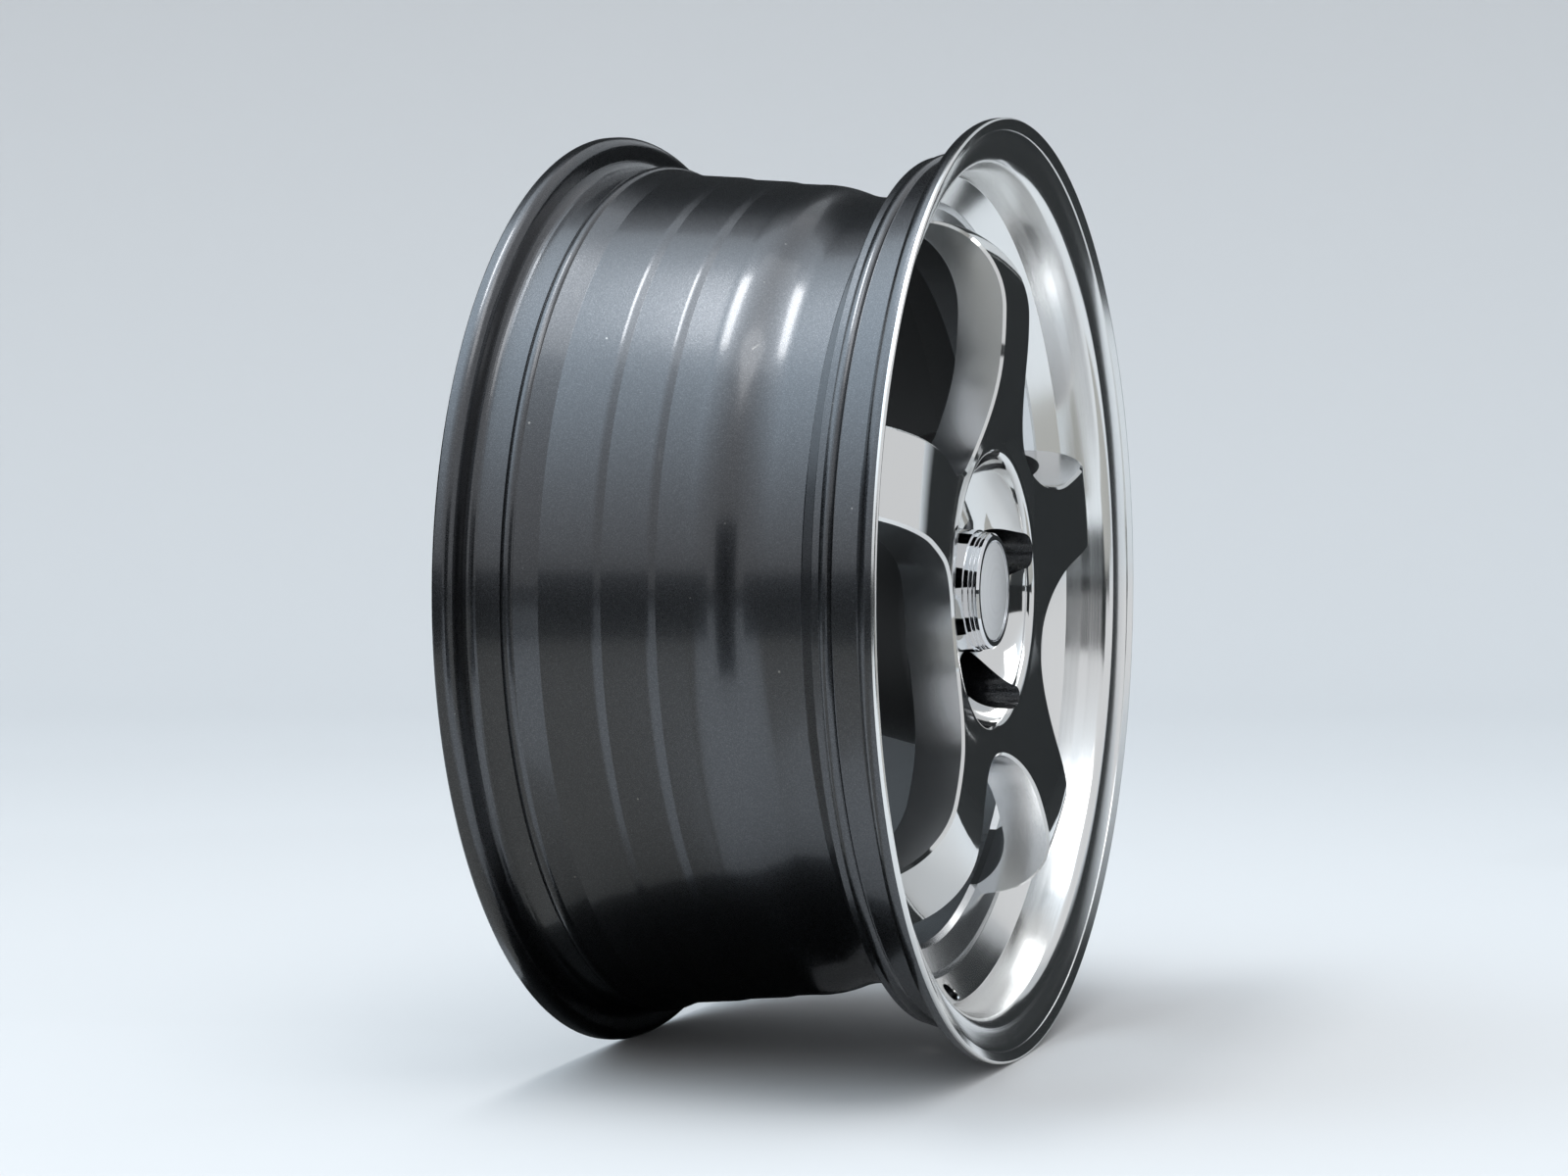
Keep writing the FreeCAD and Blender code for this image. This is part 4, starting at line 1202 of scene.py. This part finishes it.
def set_cards(stage, ground):
    """The cards that the bright metal mirrors: upright ones in two rings, and ones that lie on the floor."""
    dark = matt("card_dark", stage.card)
    grey = matt("card_middle", stage.card_middle)
    sideways = graded("card_sideways", stage.floor, stage.card, "X")
    upwards = graded("card_upwards", stage.card, stage.floor, "Z")
    # Upright cards: name, angles, distance, heights, finish
    upright = (
        ("card_behind", (8, 68), NEAR_RING, (ground, 2.9), dark),
        ("card_behind_top", (8, 68), NEAR_RING, (2.9, 4.6), upwards),
        ("card_rear", (68, 138), NEAR_RING, (ground, 1.1), dark),
        ("card_right", (-42, 8), NEAR_RING, (ground, 1.1), dark),
        ("card_right_low", (-53, -42), NEAR_RING, (ground, 0.12), dark),
        ("card_right_end", (-60, -42), NEAR_RING, (0.12, 1.1), sideways),
        ("card_horizon_left", (138, 186), FAR_RING, (ground, 0.36), dark),
        ("card_horizon_front", (186, 194), FAR_RING, (ground, 0.10), dark),
        ("card_front_left", (194, 232), FAR_RING, (ground, 1.3), dark),
        ("card_horizon_front_end", (232, 262), FAR_RING, (ground, 0.10), dark),
    )
    for name, degrees, distance, heights, finish in upright:
        card(name, degrees, [(distance, height) for height in heights], finish)
    # Cards on the floor: name, angles, distances, finish
    flat = (
        ("card_floor_near", (0, 205), (0.0, 0.19), dark),
        ("card_floor_rear", (8, 100), (0.19, 1.30), dark),
        ("card_floor_right", (-49, -12), (1.05, NEAR_RING), dark),
        ("card_floor_middle", (140, 173), (0.19, 1.30), grey),
        ("card_floor_far", (140, 186), (1.30, FAR_RING), dark),
        ("card_floor_left", (194, 222), (0.75, FAR_RING), dark),
        ("card_floor_front", (222, 290), (0.45, FAR_RING), grey),
    )
    for name, degrees, distances, finish in flat:
        card(name, degrees, [(distance, ground + CARD_LIFT) for distance in distances], finish)


def set_floor(stage, ground):
    """The pale floor, which bends up into a backdrop behind the wheel as the camera sees it."""
    profile = [(-FLOOR_REACH, ground), (BEND_START, ground)]
    for step in range(1, BEND_STEPS + 1):
        turn = math.pi / 2 * step / BEND_STEPS
        along = BEND_START + BEND_RADIUS * math.sin(turn)
        profile.append((along, ground + BEND_RADIUS * (1 - math.cos(turn))))
    profile.append((BEND_START + BEND_RADIUS, ground + BACKDROP_RISE))
    rows = [[(along, side, height) for along, height in profile] for side in (-FLOOR_REACH, FLOOR_REACH)]
    floor = stage_sheet("floor", rows, matt("floor", stage.floor))
    floor.rotation_euler = (0, 0, math.radians(90) + stage.camera_azimuth)


def set_world(scene, stage):
    """A pale surround that grows brighter towards one soft glow overhead."""
    world = bpy.data.worlds.new("studio")
    scene.world = world
    world.use_nodes = True
    w = Wiring(world.node_tree)
    way = w.node("ShaderNodeTexCoord").outputs["Generated"]
    toward = w.vector("DOT_PRODUCT", way, Vector(stage.glow_way).normalized())["Value"]
    part = w.math("POWER", w.range(toward, stage.glow_edge, 1.0), stage.glow_fall)
    even = [value * stage.sky_strength for value in stage.sky]
    peak = [value * stage.glow_strength for value in stage.glow]
    w.join(w.mix(part, even, peak), world.node_tree.nodes["Background"].inputs["Color"])


def set_camera(scene, stage):
    """The camera at the photograph's viewing angle."""
    data = bpy.data.cameras.new("camera")
    data.lens = stage.camera_lens
    data.sensor_width = SENSOR_WIDTH
    data.dof.use_dof = False
    camera = bpy.data.objects.new("camera", data)
    azimuth, elevation = stage.camera_azimuth, stage.camera_elevation
    level = math.cos(elevation)
    back = Vector((math.sin(azimuth) * level, -math.cos(azimuth) * level, math.sin(elevation)))
    turn = (-back).to_track_quat("-Z", "Y").to_matrix() @ Matrix.Rotation(stage.camera_roll, 3, "Z")
    camera.matrix_world = Matrix.Translation(stage.camera_place) @ turn.to_4x4()
    scene.collection.objects.link(camera)
    scene.camera = camera


# Steps

class WHEEL_OT_casting(bpy.types.Operator):
    """Builds the finished casting in place of the plain one"""

    bl_idname = "wheel.casting"
    bl_label = "Finish the casting"

    def execute(self, context):
        form = WheelForm(context.scene)
        hub = form.hub
        turned = lathe(rim_outline(form).eased(CASTING_EASE), RIM_SEGMENTS, form.place, phase=hub.phase)
        casting = new_object("wheel_casting_finished", turned)
        star = StarMesh(form).finish("spokes")
        cutters = [lug_cutter(form, hub.phase + form.step * spoke) for spoke in range(hub.count)]
        cutters.append(valve_cutter(form, hub.phase + form.step * (hub.valve_window + 0.5)))
        materials = [make(context.scene.wheel_colours) for make in CASTING_FINISHES]
        for thing in (casting, star, *cutters):
            for material in materials:
                thing.data.materials.append(material)
        combine(casting, [star], "UNION")
        combine(casting, cutters, "DIFFERENCE")
        set_edges(casting)
        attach(casting, BODY)
        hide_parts("wheel_casting")
        return {"FINISHED"}


class WHEEL_OT_centre_cap(bpy.types.Operator):
    """Builds the plated cap and its disc, and gives the spring ring its finish"""

    bl_idname = "wheel.centre_cap"
    bl_label = "Finish the centre cap"

    def execute(self, context):
        form = WheelForm(context.scene)
        cap = context.scene.wheel_cap
        colours = context.scene.wheel_colours
        foot = form.hub.cup_floor_depth
        body = new_object("cap_body_plated", lathe(self.body_outline(cap, foot), CAP_SEGMENTS, form.place))
        body.data.materials.append(bright_plating(colours))
        legs = []
        for leg in range(cap.leg_count):
            turn = math.tau * leg / cap.leg_count - cap.leg_angle / 2
            bent = lathe(self.leg_outline(cap, foot), LEG_SEGMENTS, form.place, cap.leg_angle, turn)
            legs.append(new_object("leg", bent))
        combine(body, legs, "UNION")
        disc = new_object("cap_disc_domed", lathe(self.disc_outline(cap, foot), CAP_SEGMENTS, form.place))
        disc.data.materials.append(disc_dome(colours))
        for piece, node, slot in ((body, "cap_body", "cap"), (disc, "cap_disc", "cap_disc")):
            set_edges(piece)
            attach(piece, BODY)
            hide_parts(node)
        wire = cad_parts["cap_spring_ring"]
        wire.data.materials.clear()
        wire.data.materials.append(spring_wire(colours))
        return {"FINISHED"}

    def front_depth(self, cap, foot):
        """Depth of the cap's front edge."""
        rings = cap.ring_count * (cap.groove_height + cap.ring_height)
        return foot - cap.base_height - cap.band_height - rings - cap.front_chamfer

    def body_outline(self, cap, foot):
        """Section of the cap with its foot, band, turned rings and the disc's recess."""
        front = self.front_depth(cap, foot)
        inner = cap.leg_outer - cap.leg_thickness
        line = Outline(inner, foot, ONLY_FINISH)
        line.line(cap.radius, foot)
        depth = foot - cap.base_height
        line.line(cap.radius, depth)
        radius = cap.radius - cap.band_step
        line.line(radius, depth)
        depth -= cap.band_height
        line.line(radius, depth)
        for _ in range(cap.ring_count):
            line.line(radius - cap.groove_depth, depth)
            depth -= cap.groove_height
            line.line(radius - cap.groove_depth, depth)
            radius -= cap.ring_step
            line.line(radius, depth)
            depth -= cap.ring_height
            line.line(radius, depth)
        line.line(radius - cap.front_chamfer, front)
        recess = cap.disc_radius + cap.disc_gap
        line.line(recess, front)
        line.line(recess, front + cap.disc_recess)
        line.line(0, front + cap.disc_recess)
        line.line(0, front + cap.disc_recess + cap.plate)
        line.line(inner, front + cap.disc_recess + cap.plate)
        return line.close().eased(cap.edge_ease)

    def leg_outline(self, cap, foot):
        """Section of a clip leg with its barb."""
        inner = cap.leg_outer - cap.leg_thickness
        sunk = foot - cap.leg_thickness
        line = Outline(inner, sunk, ONLY_FINISH)
        line.line(cap.leg_outer, sunk)
        line.line(cap.leg_outer, cap.barb_start)
        line.line(cap.leg_outer + cap.barb_reach, cap.barb_start)
        line.line(cap.leg_outer, cap.barb_end)
        line.line(inner, cap.barb_end)
        return line.close()

    def disc_outline(self, cap, foot):
        """Section of the domed disc."""
        floor = self.front_depth(cap, foot) + cap.disc_recess
        edge = floor - cap.disc_edge
        sphere = (cap.disc_radius ** 2 + cap.disc_dome ** 2) / (2 * cap.disc_dome)
        line = Outline(0, floor, ONLY_FINISH)
        line.line(cap.disc_radius, floor)
        line.line(cap.disc_radius, edge)
        line.arc((0, edge - cap.disc_dome + sphere), (0, edge - cap.disc_dome), DOME_STEPS)
        return line.close()


class WHEEL_OT_stage(bpy.types.Operator):
    """Sets the floor, the light, the cards and the camera"""

    bl_idname = "wheel.stage"
    bl_label = "Set the stage"

    def execute(self, context):
        scene = context.scene
        stage = scene.wheel_stage
        ground = -WheelForm(scene).flange_radius
        set_floor(stage, ground)
        set_world(scene, stage)
        for name, place, target, size, tint in LAMPS:
            soft_lamp(name, place, target, size, tint, getattr(stage, name))
        set_cards(stage, ground)
        set_camera(scene, stage)
        scene.view_settings.view_transform = "Standard"
        return {"FINISHED"}


class WHEEL_PT_panel(bpy.types.Panel):
    """Lists the wheel's settings and steps"""

    bl_label = "Alloy wheel"
    bl_idname = "WHEEL_PT_panel"
    bl_space_type = "VIEW_3D"
    bl_region_type = "UI"
    bl_category = "Wheel"

    def draw(self, context):
        for settings in SETTINGS:
            box = self.layout.box()
            group = getattr(context.scene, settings)
            for name in group.bl_rna.properties.keys():
                if name not in ("rna_type", "name"):
                    box.prop(group, name)
        for operator in OPERATORS:
            self.layout.operator(operator.bl_idname)


SETTINGS = {
    "wheel_rim": RimSizes,
    "wheel_spokes": SpokeSizes,
    "wheel_cap": CapSizes,
    "wheel_colours": WheelColours,
    "wheel_stage": StageSizes,
}
OPERATORS = (WHEEL_OT_casting, WHEEL_OT_centre_cap, WHEEL_OT_stage)


def register():
    for name, group in SETTINGS.items():
        bpy.utils.register_class(group)
        setattr(bpy.types.Scene, name, bpy.props.PointerProperty(type=group))
    for item in (*OPERATORS, WHEEL_PT_panel):
        bpy.utils.register_class(item)


def unregister():
    for item in (WHEEL_PT_panel, *reversed(OPERATORS)):
        bpy.utils.unregister_class(item)
    for name, group in reversed(SETTINGS.items()):
        delattr(bpy.types.Scene, name)
        bpy.utils.unregister_class(group)


def main():
    register()
    bpy.ops.wheel.casting()
    bpy.ops.wheel.centre_cap()
    bpy.ops.wheel.stage()


if __name__ == "__main__":
    main()
